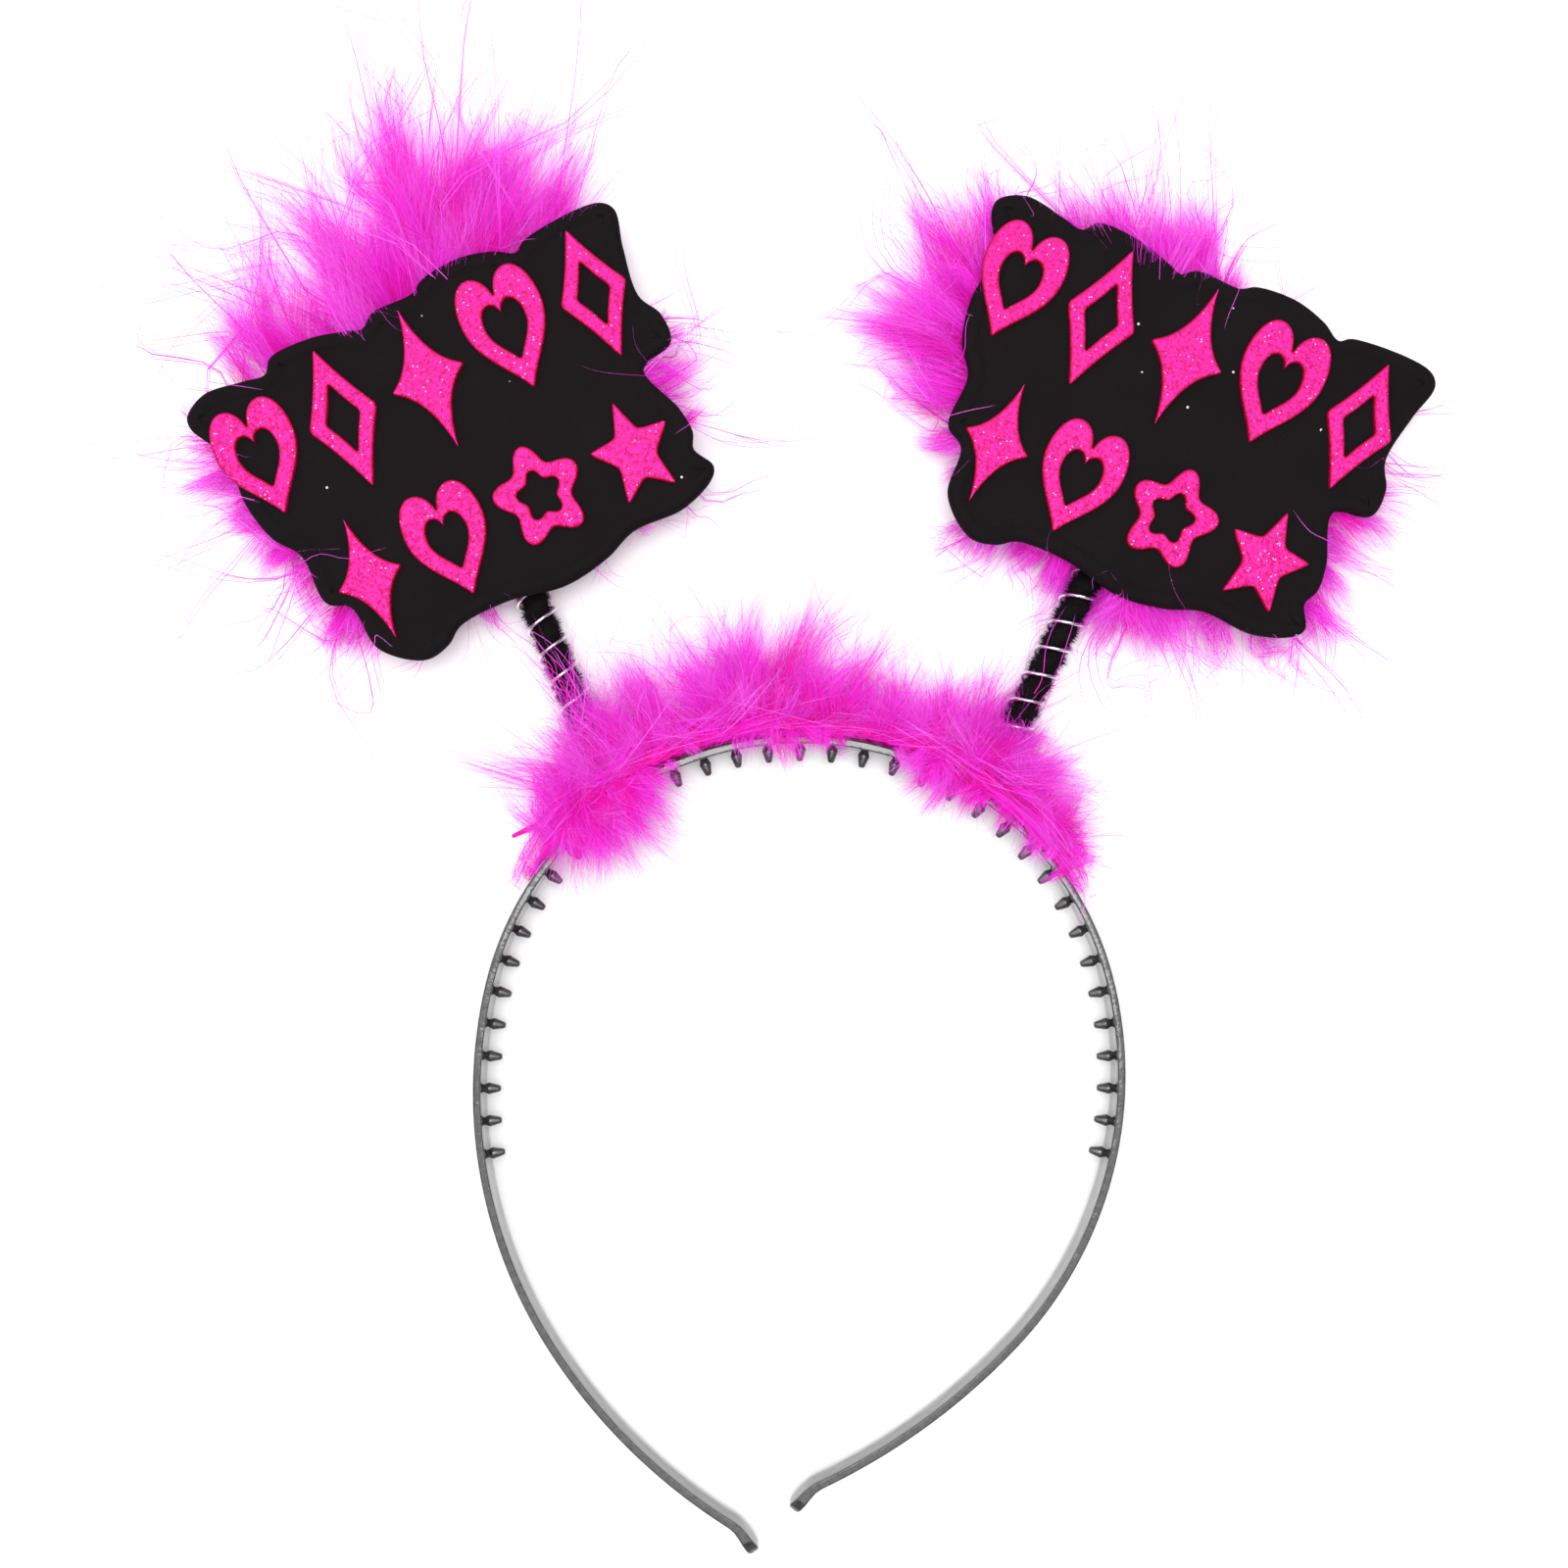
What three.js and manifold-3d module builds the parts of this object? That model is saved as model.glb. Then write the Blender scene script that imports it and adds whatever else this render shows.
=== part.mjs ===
// Head bopper headband, millimetres, +Z up. It lies flat: the strip stands on its edge on z = 0,
// +Y runs from the tips to the crown and +X to the right. The origin is the bottom centre of the
// whole object's box.
import * as THREE from 'three';
import { mergeVertices } from 'three/addons/utils/BufferGeometryUtils.js';
import Module from 'manifold-3d';

const wasm = await Module();
wasm.setup();

// Fits
const seatGap = 0.3;

// Headband strip, seen on its edge
const bandWidth = 10;
const bandWall = 1.5;
const bandChamfer = 0.3;
const crownRadius = 61.2;
const bandLength = { right: 202.9, left: 203.5 };
const bandStep = 7.5;
const tipBendRadius = 7;
const tipBendLength = 2.8;
const tipLength = 4.8;
const tipRound = 3.2;
const tipLeast = 0.35;

// Comb teeth on the inner face
const teethPerSide = 18;
const toothPitch = 6.4;
const toothLength = 3.4;
const toothRadius = 1.0;

// Stalks: a wire spring round a pile core, seated on the band and glued behind the board
const coilRadius = 3.2;
const wireRadius = 0.4;
const coilPitch = 5.6;
const coreRadius = 2.35;
const coreBulge = 0.75;
const footRadius = 4.7;
const footHeight = 6;
const footFloor = 2;
const padRadius = 7.5;
const padHold = 6;
const padSkin = 1.2;
const padUnder = 1.5;
const stalkEndGap = 0.6;

// Boards and the motifs on them
const boardWidth = 91;
const boardHeight = 67;
const boardThick = 3;
const boardRound = 0.9;
const motifThick = 0.8;

// Marabou
const trimReach = 24;
const trimInset = 8;
const trimHeight = 22;
const trimSpan = 68;
const trimLockWidth = 4.2;
const plumeHeight = 17;
const plumeLockWidth = 6.5;
const lockFloor = 0.9;

// The strip's arcs from the crown down: length as a share of bandLength, radius of crownRadius.
const bandArcs = {
  right: [
    { length: 0.402, radius: 1 },
    { length: 0.366, radius: 1.232 },
    { length: 0.232, radius: 2.021 },
  ],
  left: [
    { length: 0.404, radius: 1 },
    { length: 0.352, radius: 1.487 },
    { length: 0.244, radius: 1.8 },
  ],
};

// Each side's stalk and board: side is the sign of X, along the foot's distance from the crown's
// middle along the strip, lean and turn are degrees to the right and to the left, length runs from
// the strip to the stalk's end, seat is where that end lies behind the board, as shares of its size.
const sides = {
  left: {
    side: -1, along: 38.1, lean: -22.2, length: 53.6, turn: 24, seat: { across: 0.015, up: -0.329 },
    plumeReach: 80,
  },
  right: {
    side: 1, along: 37.1, lean: 26.3, length: 57, turn: -25.4, seat: { across: 0.029, up: -0.348 },
    plumeReach: 71,
  },
};

// The board's outline, clockwise from its upper left corner, as shares of its width and height.
const boardOutline = [
  [-0.489, 0.342], [-0.438, 0.382], [-0.348, 0.37], [-0.304, 0.363], [-0.281, 0.4], [-0.191, 0.406],
  [-0.108, 0.381], [-0.08, 0.369], [-0.049, 0.399], [0.046, 0.404], [0.075, 0.428], [0.162, 0.442],
  [0.237, 0.419], [0.279, 0.39], [0.302, 0.412], [0.477, 0.425], [0.503, 0.39], [0.488, 0.285],
  [0.476, 0.137], [0.503, 0.064], [0.499, -0.018], [0.423, -0.057], [0.458, -0.203], [0.464, -0.278],
  [0.451, -0.324], [0.475, -0.39], [0.46, -0.422], [0.381, -0.466], [0.267, -0.467], [0.192, -0.507],
  [0.091, -0.53], [-0.034, -0.503], [-0.146, -0.513], [-0.184, -0.548], [-0.241, -0.561],
  [-0.321, -0.478], [-0.338, -0.34], [-0.382, -0.3], [-0.389, -0.15], [-0.43, -0.07],
  [-0.452, 0.05], [-0.449, 0.191], [-0.493, 0.309],
];
const boardSamples = 56;

// Motifs in two rows: place and size as shares of the board's width and height.
const motifs = [
  { name: 'heart_1', form: 'heart', across: -0.38, up: 0.14, wide: 0.175, high: 0.34 },
  { name: 'gem_1', form: 'gem', across: -0.19, up: 0.155, wide: 0.155, high: 0.43 },
  { name: 'sparkle_1', form: 'sparkle', across: 0.005, up: 0.16, wide: 0.17, high: 0.44 },
  { name: 'heart_2', form: 'heart', across: 0.2, up: 0.19, wide: 0.18, high: 0.36 },
  { name: 'gem_2', form: 'gem', across: 0.392, up: 0.19, wide: 0.15, high: 0.4 },
  { name: 'sparkle_2', form: 'sparkle', across: -0.275, up: -0.29, wide: 0.15, high: 0.38 },
  { name: 'heart_3', form: 'heart', across: -0.09, up: -0.29, wide: 0.175, high: 0.33 },
  { name: 'flower_1', form: 'flower', across: 0.12, up: -0.27, wide: 0.2, high: 0.3 },
  { name: 'star_1', form: 'star', across: 0.335, up: -0.27, wide: 0.19, high: 0.32 },
];
const motifStroke = 0.5;

// The trim along the strip: along as a share of trimSpan, out of trimReach, in of trimInset.
const trimRows = [
  { along: -1, out: 0.2, in: 0.15 },
  { along: -0.86, out: 0.42, in: 0.5 },
  { along: -0.7, out: 0.68, in: 1 },
  { along: -0.54, out: 0.86, in: 0.8 },
  { along: -0.38, out: 0.98, in: 0.3 },
  { along: -0.22, out: 0.9, in: 0.2 },
  { along: -0.08, out: 1, in: 0.7 },
  { along: 0.09, out: 0.82, in: 0.6 },
  { along: 0.24, out: 0.62, in: 0.3 },
  { along: 0.38, out: 0.88, in: 0.6 },
  { along: 0.5, out: 0.86, in: 0.9 },
  { along: 0.64, out: 0.72, in: 0.6 },
  { along: 0.78, out: 0.5, in: 0.45 },
  { along: 0.88, out: 0.32, in: 0.3 },
  { along: 1, out: 0.18, in: 0.12 },
];
const trimStations = 18;

// Plume locks: bearing in degrees from +X about the board's middle, reach as a share of
// plumeReach, wide of plumeLockWidth.
const plumeRows = {
  left: [
    { bearing: 10, reach: 0.68, wide: 0.8 },
    { bearing: 19, reach: 0.74, wide: 0.9 },
    { bearing: 31, reach: 0.68, wide: 0.8 },
    { bearing: 42, reach: 0.7, wide: 0.8 },
    { bearing: 53, reach: 0.84, wide: 0.8 },
    { bearing: 62, reach: 0.92, wide: 1 },
    { bearing: 70, reach: 0.97, wide: 1.1 },
    { bearing: 78, reach: 1, wide: 1.2 },
    { bearing: 87, reach: 0.95, wide: 1.3 },
    { bearing: 96, reach: 0.88, wide: 1.3 },
    { bearing: 105, reach: 0.86, wide: 1.2 },
    { bearing: 114, reach: 0.82, wide: 1 },
    { bearing: 123, reach: 0.9, wide: 0.7 },
    { bearing: 132, reach: 0.73, wide: 0.8 },
    { bearing: 141, reach: 0.72, wide: 0.8 },
    { bearing: 150, reach: 0.82, wide: 0.8 },
    { bearing: 160, reach: 0.72, wide: 0.8 },
    { bearing: 170, reach: 0.74, wide: 0.8 },
    { bearing: 179, reach: 0.8, wide: 0.8 },
    { bearing: 188, reach: 0.76, wide: 0.8 },
    { bearing: 198, reach: 0.66, wide: 0.8 },
    { bearing: 209, reach: 0.76, wide: 0.9 },
    { bearing: 222, reach: 0.73, wide: 1 },
    { bearing: 238, reach: 0.72, wide: 1.1 },
    { bearing: 250, reach: 0.64, wide: 1 },
    { bearing: 263, reach: 0.58, wide: 0.9 },
  ],
  right: [
    { bearing: 30, reach: 0.68, wide: 0.7 },
    { bearing: 50, reach: 0.68, wide: 0.8 },
    { bearing: 65, reach: 0.66, wide: 0.8 },
    { bearing: 77, reach: 0.7, wide: 0.9 },
    { bearing: 86, reach: 0.74, wide: 0.9 },
    { bearing: 94, reach: 0.82, wide: 0.9 },
    { bearing: 104, reach: 0.72, wide: 0.8 },
    { bearing: 134, reach: 0.9, wide: 0.8 },
    { bearing: 146, reach: 0.95, wide: 1 },
    { bearing: 155, reach: 1, wide: 1.1 },
    { bearing: 163, reach: 0.93, wide: 1.1 },
    { bearing: 172, reach: 0.88, wide: 1 },
    { bearing: 181, reach: 0.85, wide: 1 },
    { bearing: 190, reach: 0.82, wide: 0.9 },
    { bearing: 199, reach: 0.8, wide: 0.9 },
    { bearing: 210, reach: 0.78, wide: 0.8 },
    { bearing: 222, reach: 0.66, wide: 0.8 },
    { bearing: 273, reach: 0.72, wide: 0.9 },
    { bearing: 284, reach: 0.8, wide: 0.9 },
    { bearing: 294, reach: 0.82, wide: 1 },
    { bearing: 306, reach: 0.72, wide: 0.9 },
    { bearing: 319, reach: 0.8, wide: 0.8 },
    { bearing: 332, reach: 0.9, wide: 0.8 },
    { bearing: 343, reach: 0.86, wide: 0.8 },
    { bearing: 355, reach: 0.86, wide: 0.7 },
  ],
};

// Heights that follow from the sizes above
const stalkHeight = bandWidth / 2;
const coilOuter = coilRadius + wireRadius;
const boardBack = stalkHeight + coilOuter + seatGap + padSkin + seatGap;
const boardFace = boardBack + boardThick;

const up = new THREE.Vector3(0, 0, 1);
const radians = THREE.MathUtils.degToRad;

// Materials
const finishes = {
  plastic: { color: 0x2a292c, roughness: 0.28, metalness: 0 },
  marabou: { color: 0xe927c0, roughness: 0.9, metalness: 0 },
  foam: { color: 0x211c1f, roughness: 0.85, metalness: 0 },
  glitter: { color: 0xea3aa2, roughness: 0.45, metalness: 0.2 },
  wire: { color: 0xdcdcde, roughness: 0.25, metalness: 1 },
  pile: { color: 0x17090f, roughness: 0.95, metalness: 0 },
  glue: { color: 0xe8e6ea, roughness: 0.2, metalness: 0 },
};

function piece(name, geometry, finish) {
  const mesh = new THREE.Mesh(geometry, new THREE.MeshStandardMaterial(finishes[finish]));
  mesh.name = name;
  return mesh;
}

// Geometry to a solid that can be joined and cut, and back
function toSolid(geometry) {
  const bare = geometry.clone();
  bare.deleteAttribute('normal');
  bare.deleteAttribute('uv');
  const merged = mergeVertices(bare);
  const mesh = new wasm.Mesh({
    numProp: 3,
    vertProperties: Float32Array.from(merged.attributes.position.array),
    triVerts: Uint32Array.from(merged.index.array),
  });
  return new wasm.Manifold(mesh);
}

function toGeometry(solid) {
  const mesh = solid.getMesh();
  return meshOf(Array.from(mesh.vertProperties), Array.from(mesh.triVerts));
}

function meshOf(positions, faces) {
  const geometry = new THREE.BufferGeometry();
  geometry.setAttribute('position', new THREE.Float32BufferAttribute(positions, 3));
  geometry.setIndex(faces);
  geometry.computeVertexNormals();
  return geometry;
}

function joined(solids) {
  return solids.reduce((whole, next) => whole.add(next));
}

// Faces between loops of equal count, which run counter-clockwise about the way they follow
function sideFaces(loopCount, count) {
  const faces = [];
  for (let k = 0; k + 1 < loopCount; k++) {
    for (let i = 0; i < count; i++) {
      const a = k * count + i;
      const b = k * count + (i + 1) % count;
      faces.push(a, b, b + count, a, b + count, a + count);
    }
  }
  return faces;
}

// A closed body through loops of points, with both ends capped by the flat loop given
function loft(loops, flatStart, flatEnd) {
  const count = loops[0].length;
  const last = (loops.length - 1) * count;
  const faces = sideFaces(loops.length, count);
  for (const [a, b, c] of THREE.ShapeUtils.triangulateShape(flatStart, [])) faces.push(a, c, b);
  for (const [a, b, c] of THREE.ShapeUtils.triangulateShape(flatEnd, [])) {
    faces.push(last + a, last + b, last + c);
  }
  return meshOf(loops.flat().flatMap((p) => [p.x, p.y, p.z]), faces);
}

// The strip's middle line: place, outward direction and running direction at a distance from the
// crown's middle, negative to the left
function bandFrame(distance) {
  const name = distance < 0 ? 'left' : 'right';
  const sign = distance < 0 ? -1 : 1;
  const rows = bandArcs[name].map((row) => ({
    length: row.length * bandLength[name],
    radius: row.radius * crownRadius,
  }));
  rows.push({ length: tipBendLength, radius: -tipBendRadius });
  let left = Math.abs(distance);
  let heading = 0;
  let x = 0;
  let y = 0;
  for (const row of rows) {
    const run = Math.min(left, row.length);
    const next = heading + run / row.radius;
    x += row.radius * (Math.sin(next) - Math.sin(heading));
    y += row.radius * (Math.cos(next) - Math.cos(heading));
    heading = next;
    left -= run;
  }
  x += left * Math.cos(heading);
  y -= left * Math.sin(heading);
  return {
    at: new THREE.Vector3(sign * x, y, 0),
    out: new THREE.Vector3(sign * Math.sin(heading), Math.cos(heading), 0),
    run: new THREE.Vector3(Math.cos(heading), -sign * Math.sin(heading), 0),
  };
}

const bandEnd = {
  left: bandLength.left + tipBendLength + tipLength,
  right: bandLength.right + tipBendLength + tipLength,
};

// The strip's section, chamfered, as shares of its half wall and half width; round narrows it
// towards a tip
function bandLoop(distance, round) {
  const frame = bandFrame(distance);
  const wall = bandWall / 2;
  const half = bandWidth / 2 * round;
  const corners = [
    [-wall, -half + bandChamfer], [-wall + bandChamfer, -half], [wall - bandChamfer, -half],
    [wall, -half + bandChamfer], [wall, half - bandChamfer], [wall - bandChamfer, half],
    [-wall + bandChamfer, half], [-wall, half - bandChamfer],
  ];
  return {
    flat: corners.map(([across, rise]) => new THREE.Vector2(across, rise)),
    loop: corners.map(([across, rise]) => frame.at.clone()
      .addScaledVector(frame.out, across)
      .setZ(bandWidth / 2 + rise)),
  };
}

// Distances of the strip's sections, closer at the bends near its tips
function bandStations() {
  const stations = [];
  for (const [name, sign] of [['left', -1], ['right', 1]]) {
    const bend = bandLength[name];
    const steps = Math.round(bend / bandStep);
    const side = [];
    for (let k = sign < 0 ? 0 : 1; k <= steps; k++) side.push(bend * k / steps);
    side.push(bend + tipBendLength / 2, bend + tipBendLength, bandEnd[name] - tipRound);
    side.push(bandEnd[name] - tipRound * 0.4, bandEnd[name] - tipRound * 0.1, bandEnd[name]);
    stations.push(...side.map((distance) => sign * distance));
  }
  return stations.sort((a, b) => a - b);
}

// How much of its width the strip keeps near a tip, which is round in side view
function tipShare(distance) {
  const end = distance < 0 ? bandEnd.left : bandEnd.right;
  const into = Math.max(0, tipRound - (end - Math.abs(distance))) / tipRound;
  return 1 - (1 - tipLeast) * (1 - Math.sqrt(1 - into ** 2));
}

function headband() {
  const loops = bandStations().map((distance) => bandLoop(distance, tipShare(distance)));
  const strip = loft(loops.map((each) => each.loop), loops[0].flat, loops.at(-1).flat);
  const solids = [toSolid(strip)];
  const profile = [
    [0, -bandWall / 2], [toothRadius * 0.75, -bandWall / 2], [toothRadius, toothLength * 0.32],
    [toothRadius * 0.62, toothLength * 0.85], [0, toothLength],
  ].map(([radius, rise]) => new THREE.Vector2(radius, rise));
  for (let k = -teethPerSide; k <= teethPerSide; k++) {
    const frame = bandFrame(k * toothPitch);
    const tooth = new THREE.LatheGeometry(profile, 5);
    tooth.applyQuaternion(new THREE.Quaternion()
      .setFromUnitVectors(new THREE.Vector3(0, 1, 0), frame.out.clone().negate()));
    const root = frame.at.clone().addScaledVector(frame.out, -bandWall / 2).setZ(bandWidth / 2);
    tooth.translate(root.x, root.y, root.z);
    solids.push(toSolid(tooth));
  }
  return toGeometry(joined(solids));
}

// A stalk's axis: it starts on the strip's outer face, at half its width
function stalkAxis(name) {
  const { side, along, lean } = sides[name];
  const frame = bandFrame(side * along);
  const start = frame.at.clone().addScaledVector(frame.out, bandWall / 2).setZ(stalkHeight);
  const way = new THREE.Vector3(Math.sin(radians(lean)), Math.cos(radians(lean)), 0);
  return { start, way };
}

// Lays a shape made along +Y onto a stalk, rise mm up its axis
function ontoStalk(geometry, name, rise) {
  const { start, way } = stalkAxis(name);
  geometry.applyQuaternion(new THREE.Quaternion()
    .setFromUnitVectors(new THREE.Vector3(0, 1, 0), way));
  const at = start.clone().addScaledVector(way, rise);
  return geometry.translate(at.x, at.y, at.z);
}

class Helix extends THREE.Curve {
  constructor(radius, pitch, length) {
    super();
    Object.assign(this, { radius, pitch, length });
  }

  getPoint(share, target = new THREE.Vector3()) {
    const rise = share * this.length;
    const angle = rise / this.pitch * 2 * Math.PI;
    return target.set(Math.sin(angle) * this.radius, rise, Math.cos(angle) * this.radius);
  }

  getPointAt(share, target) {
    return this.getPoint(share, target);
  }
}

const stalkStart = footFloor + seatGap;

function spring(name) {
  const inset = wireRadius + seatGap;
  const length = sides[name].length - stalkStart - 2 * inset;
  const section = new THREE.Shape(new THREE.EllipseCurve(0, 0, wireRadius, wireRadius)
    .getPoints(4).slice(0, 4));
  const wire = new THREE.ExtrudeGeometry(section, {
    steps: Math.round(length / coilPitch * 9),
    extrudePath: new Helix(coilRadius, coilPitch, length),
  });
  return ontoStalk(wire, name, stalkStart + inset);
}

// The pile core: it swells between the turns of the wire, so its radius follows
// coreRadius + coreBulge * (1 - cos(turn)) / 2, with turn the angle from the wire
function stem(name) {
  const length = sides[name].length - stalkStart;
  const count = 6;
  const rows = Math.round(length / coilPitch * 3);
  const loops = [];
  for (let k = 0; k <= rows; k++) {
    const rise = length * k / rows;
    const wireAngle = (rise - wireRadius - seatGap) / coilPitch * 2 * Math.PI;
    const loop = [];
    for (let i = 0; i < count; i++) {
      const angle = i / count * 2 * Math.PI;
      const swell = coreBulge * (1 - Math.cos(angle - wireAngle)) / 2;
      const radius = coreRadius + swell;
      loop.push(new THREE.Vector3(Math.sin(angle) * radius, rise, Math.cos(angle) * radius));
    }
    loops.push(loop);
  }
  const flat = (loop) => loop.map((p) => new THREE.Vector2(p.z, p.x));
  return ontoStalk(loft(loops, flat(loops[0]), flat(loops.at(-1))), name, stalkStart);
}

function rod(radius, from, to, name) {
  const geometry = new THREE.CylinderGeometry(radius, radius, to - from, 12);
  return toSolid(ontoStalk(geometry, name, (from + to) / 2));
}

// A disc about the crown's centre that is wider than the strip by the seat's gap
function crownDisc() {
  const radius = crownRadius + bandWall / 2 + seatGap;
  const disc = new THREE.CylinderGeometry(radius, radius, 3 * bandWidth, 120);
  disc.rotateX(Math.PI / 2);
  disc.translate(0, -crownRadius, bandWidth / 2);
  return toSolid(disc);
}

// The seat that wraps the stalk's lower end and sits on the strip's outer face
function springFoot(name) {
  const outer = rod(footRadius, -footRadius, footHeight, name);
  const socket = rod(coilOuter + seatGap, footFloor, footHeight + footRadius, name);
  return toGeometry(outer.subtract(crownDisc()).subtract(socket));
}

// The dome of glue under the board, grown by extra where it is used as a clearance
function padDome(name, extra) {
  const { length } = sides[name];
  const { start, way } = stalkAxis(name);
  const top = boardBack - seatGap + extra;
  const low = stalkHeight - padUnder - extra;
  const radius = padRadius + extra;
  const profile = [[0, low], [radius * 0.6, low], [radius, (low + top) / 2], [radius, top], [0, top]];
  const dome = new THREE.LatheGeometry(profile.map(([r, z]) => new THREE.Vector2(r, z)), 12);
  dome.rotateX(Math.PI / 2);
  const at = start.clone().addScaledVector(way, length - padHold + padRadius);
  return toSolid(dome.translate(at.x, at.y, 0));
}

function gluePad(name) {
  const { length } = sides[name];
  const socket = rod(coilOuter + seatGap, length - 2 * padHold, length + seatGap, name);
  return toGeometry(padDome(name, 0).subtract(socket));
}

// Room round a stalk: a bore that is open to the floor, wider at the foot
function stalkRoom(name) {
  const far = sides[name].length + stalkEndGap;
  const bore = (radius, to) => {
    const slot = new THREE.BoxGeometry(2 * radius, to + footRadius, stalkHeight + 2);
    slot.translate(0, (to - footRadius) / 2, -(stalkHeight + 2) / 2);
    return rod(radius, -footRadius, to, name).add(toSolid(ontoStalk(slot, name, 0)));
  };
  return bore(coilOuter + 2 * seatGap, far).add(bore(footRadius + seatGap, footHeight + seatGap));
}

// The board's outline as a closed smooth curve, counter-clockwise
function boardLoop(samples, share = 1) {
  const points = boardOutline.map(([across, rise]) => new THREE.Vector3(
    across * boardWidth * share, rise * boardHeight * share, 0));
  const curve = new THREE.CatmullRomCurve3(points.reverse(), true, 'centripetal');
  return curve.getSpacedPoints(samples).slice(0, samples);
}

// The loop moved inward by a distance along its corners' bisectors, at a height
function insetLoop(loop, distance, height) {
  return loop.map((point, i) => {
    const before = loop[(i + loop.length - 1) % loop.length];
    const after = loop[(i + 1) % loop.length];
    const along = after.clone().sub(before).normalize();
    return new THREE.Vector3(point.x - along.y * distance, point.y + along.x * distance, height);
  });
}

function board() {
  const outline = boardLoop(boardSamples);
  const loops = [[boardRound, 0], [0, boardRound], [0, boardThick - boardRound], [boardRound, boardThick]]
    .map(([inward, rise]) => insetLoop(outline, inward, rise));
  const flat = (loop) => loop.map((p) => new THREE.Vector2(p.x, p.y));
  return loft(loops, flat(loops[0]), flat(loops.at(-1)));
}

// Motif outlines inside a box of the given width and height
const motifShapes = {
  heart(wide, high) {
    const shape = new THREE.Shape();
    shape.moveTo(0, -high / 2);
    shape.bezierCurveTo(wide * 0.12, -high * 0.3, wide / 2, -high * 0.12, wide / 2, high * 0.16);
    shape.bezierCurveTo(wide / 2, high * 0.4, wide * 0.36, high / 2, wide * 0.25, high / 2);
    shape.bezierCurveTo(wide * 0.12, high / 2, wide * 0.02, high * 0.42, 0, high * 0.28);
    shape.bezierCurveTo(-wide * 0.02, high * 0.42, -wide * 0.12, high / 2, -wide * 0.25, high / 2);
    shape.bezierCurveTo(-wide * 0.36, high / 2, -wide / 2, high * 0.4, -wide / 2, high * 0.16);
    shape.bezierCurveTo(-wide / 2, -high * 0.12, -wide * 0.12, -high * 0.3, 0, -high / 2);
    return shape;
  },
  gem(wide, high) {
    const shape = new THREE.Shape();
    const corners = [[0, -high / 2], [wide / 2, 0], [0, high / 2], [-wide / 2, 0]];
    shape.moveTo(0, -high / 2);
    corners.forEach(([x, y], i) => {
      const [nextX, nextY] = corners[(i + 1) % corners.length];
      shape.quadraticCurveTo((x + nextX) * 0.44, (y + nextY) * 0.44, nextX, nextY);
    });
    return shape;
  },
  sparkle(wide, high) {
    const shape = new THREE.Shape();
    const corners = [[0, -high / 2], [wide / 2, 0], [0, high / 2], [-wide / 2, 0]];
    shape.moveTo(0, -high / 2);
    corners.forEach(([x, y], i) => {
      const [nextX, nextY] = corners[(i + 1) % corners.length];
      shape.quadraticCurveTo((x + nextX) * 0.2, (y + nextY) * 0.2, nextX, nextY);
    });
    return shape;
  },
  star(wide, high) {
    const points = [];
    for (let i = 0; i < 10; i++) {
      const share = i % 2 === 0 ? 0.5 : 0.23;
      const angle = Math.PI / 2 + i * Math.PI / 5;
      points.push(new THREE.Vector2(Math.cos(angle) * wide * share, Math.sin(angle) * high * share));
    }
    return new THREE.Shape(points);
  },
  flower(wide, high) {
    const points = [];
    const petals = 5;
    for (let i = 0; i < petals * 3; i++) {
      const angle = Math.PI / 2 + i / (petals * 3) * 2 * Math.PI;
      const share = 0.41 + 0.09 * Math.cos(petals * (angle - Math.PI / 2));
      points.push(new THREE.Vector2(Math.cos(angle) * wide * share, Math.sin(angle) * high * share));
    }
    return new THREE.Shape(points);
  },
};
const holedForms = ['heart', 'gem', 'flower'];

function motif({ form, wide, high }) {
  const shape = motifShapes[form](wide * boardWidth, high * boardHeight);
  if (holedForms.includes(form)) {
    const inner = motifShapes[form](wide * boardWidth * motifStroke, high * boardHeight * motifStroke);
    shape.holes.push(new THREE.Path(inner.getPoints(3).reverse()));
  }
  return new THREE.ExtrudeGeometry(shape, { depth: motifThick, bevelEnabled: false, curveSegments: 3 });
}

// Where a board's middle lies, so that the stalk's end meets its seat
function boardPlace(name) {
  const { length, turn, seat } = sides[name];
  const { start, way } = stalkAxis(name);
  const offset = new THREE.Vector3(seat.across * boardWidth, seat.up * boardHeight, 0)
    .applyAxisAngle(up, radians(turn));
  return start.clone().addScaledVector(way, length).sub(offset).setZ(0);
}

function sign(name) {
  const group = new THREE.Group();
  group.position.copy(boardPlace(name).setZ(boardBack));
  group.rotation.z = radians(sides[name].turn);
  group.add(piece(`${name}_board`, board(), 'foam'));
  for (const row of motifs) {
    const mesh = piece(`${name}_${row.name}`, motif(row), 'glitter');
    mesh.position.set(row.across * boardWidth, row.up * boardHeight, boardThick + seatGap);
    group.add(mesh);
  }
  return group;
}

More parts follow.
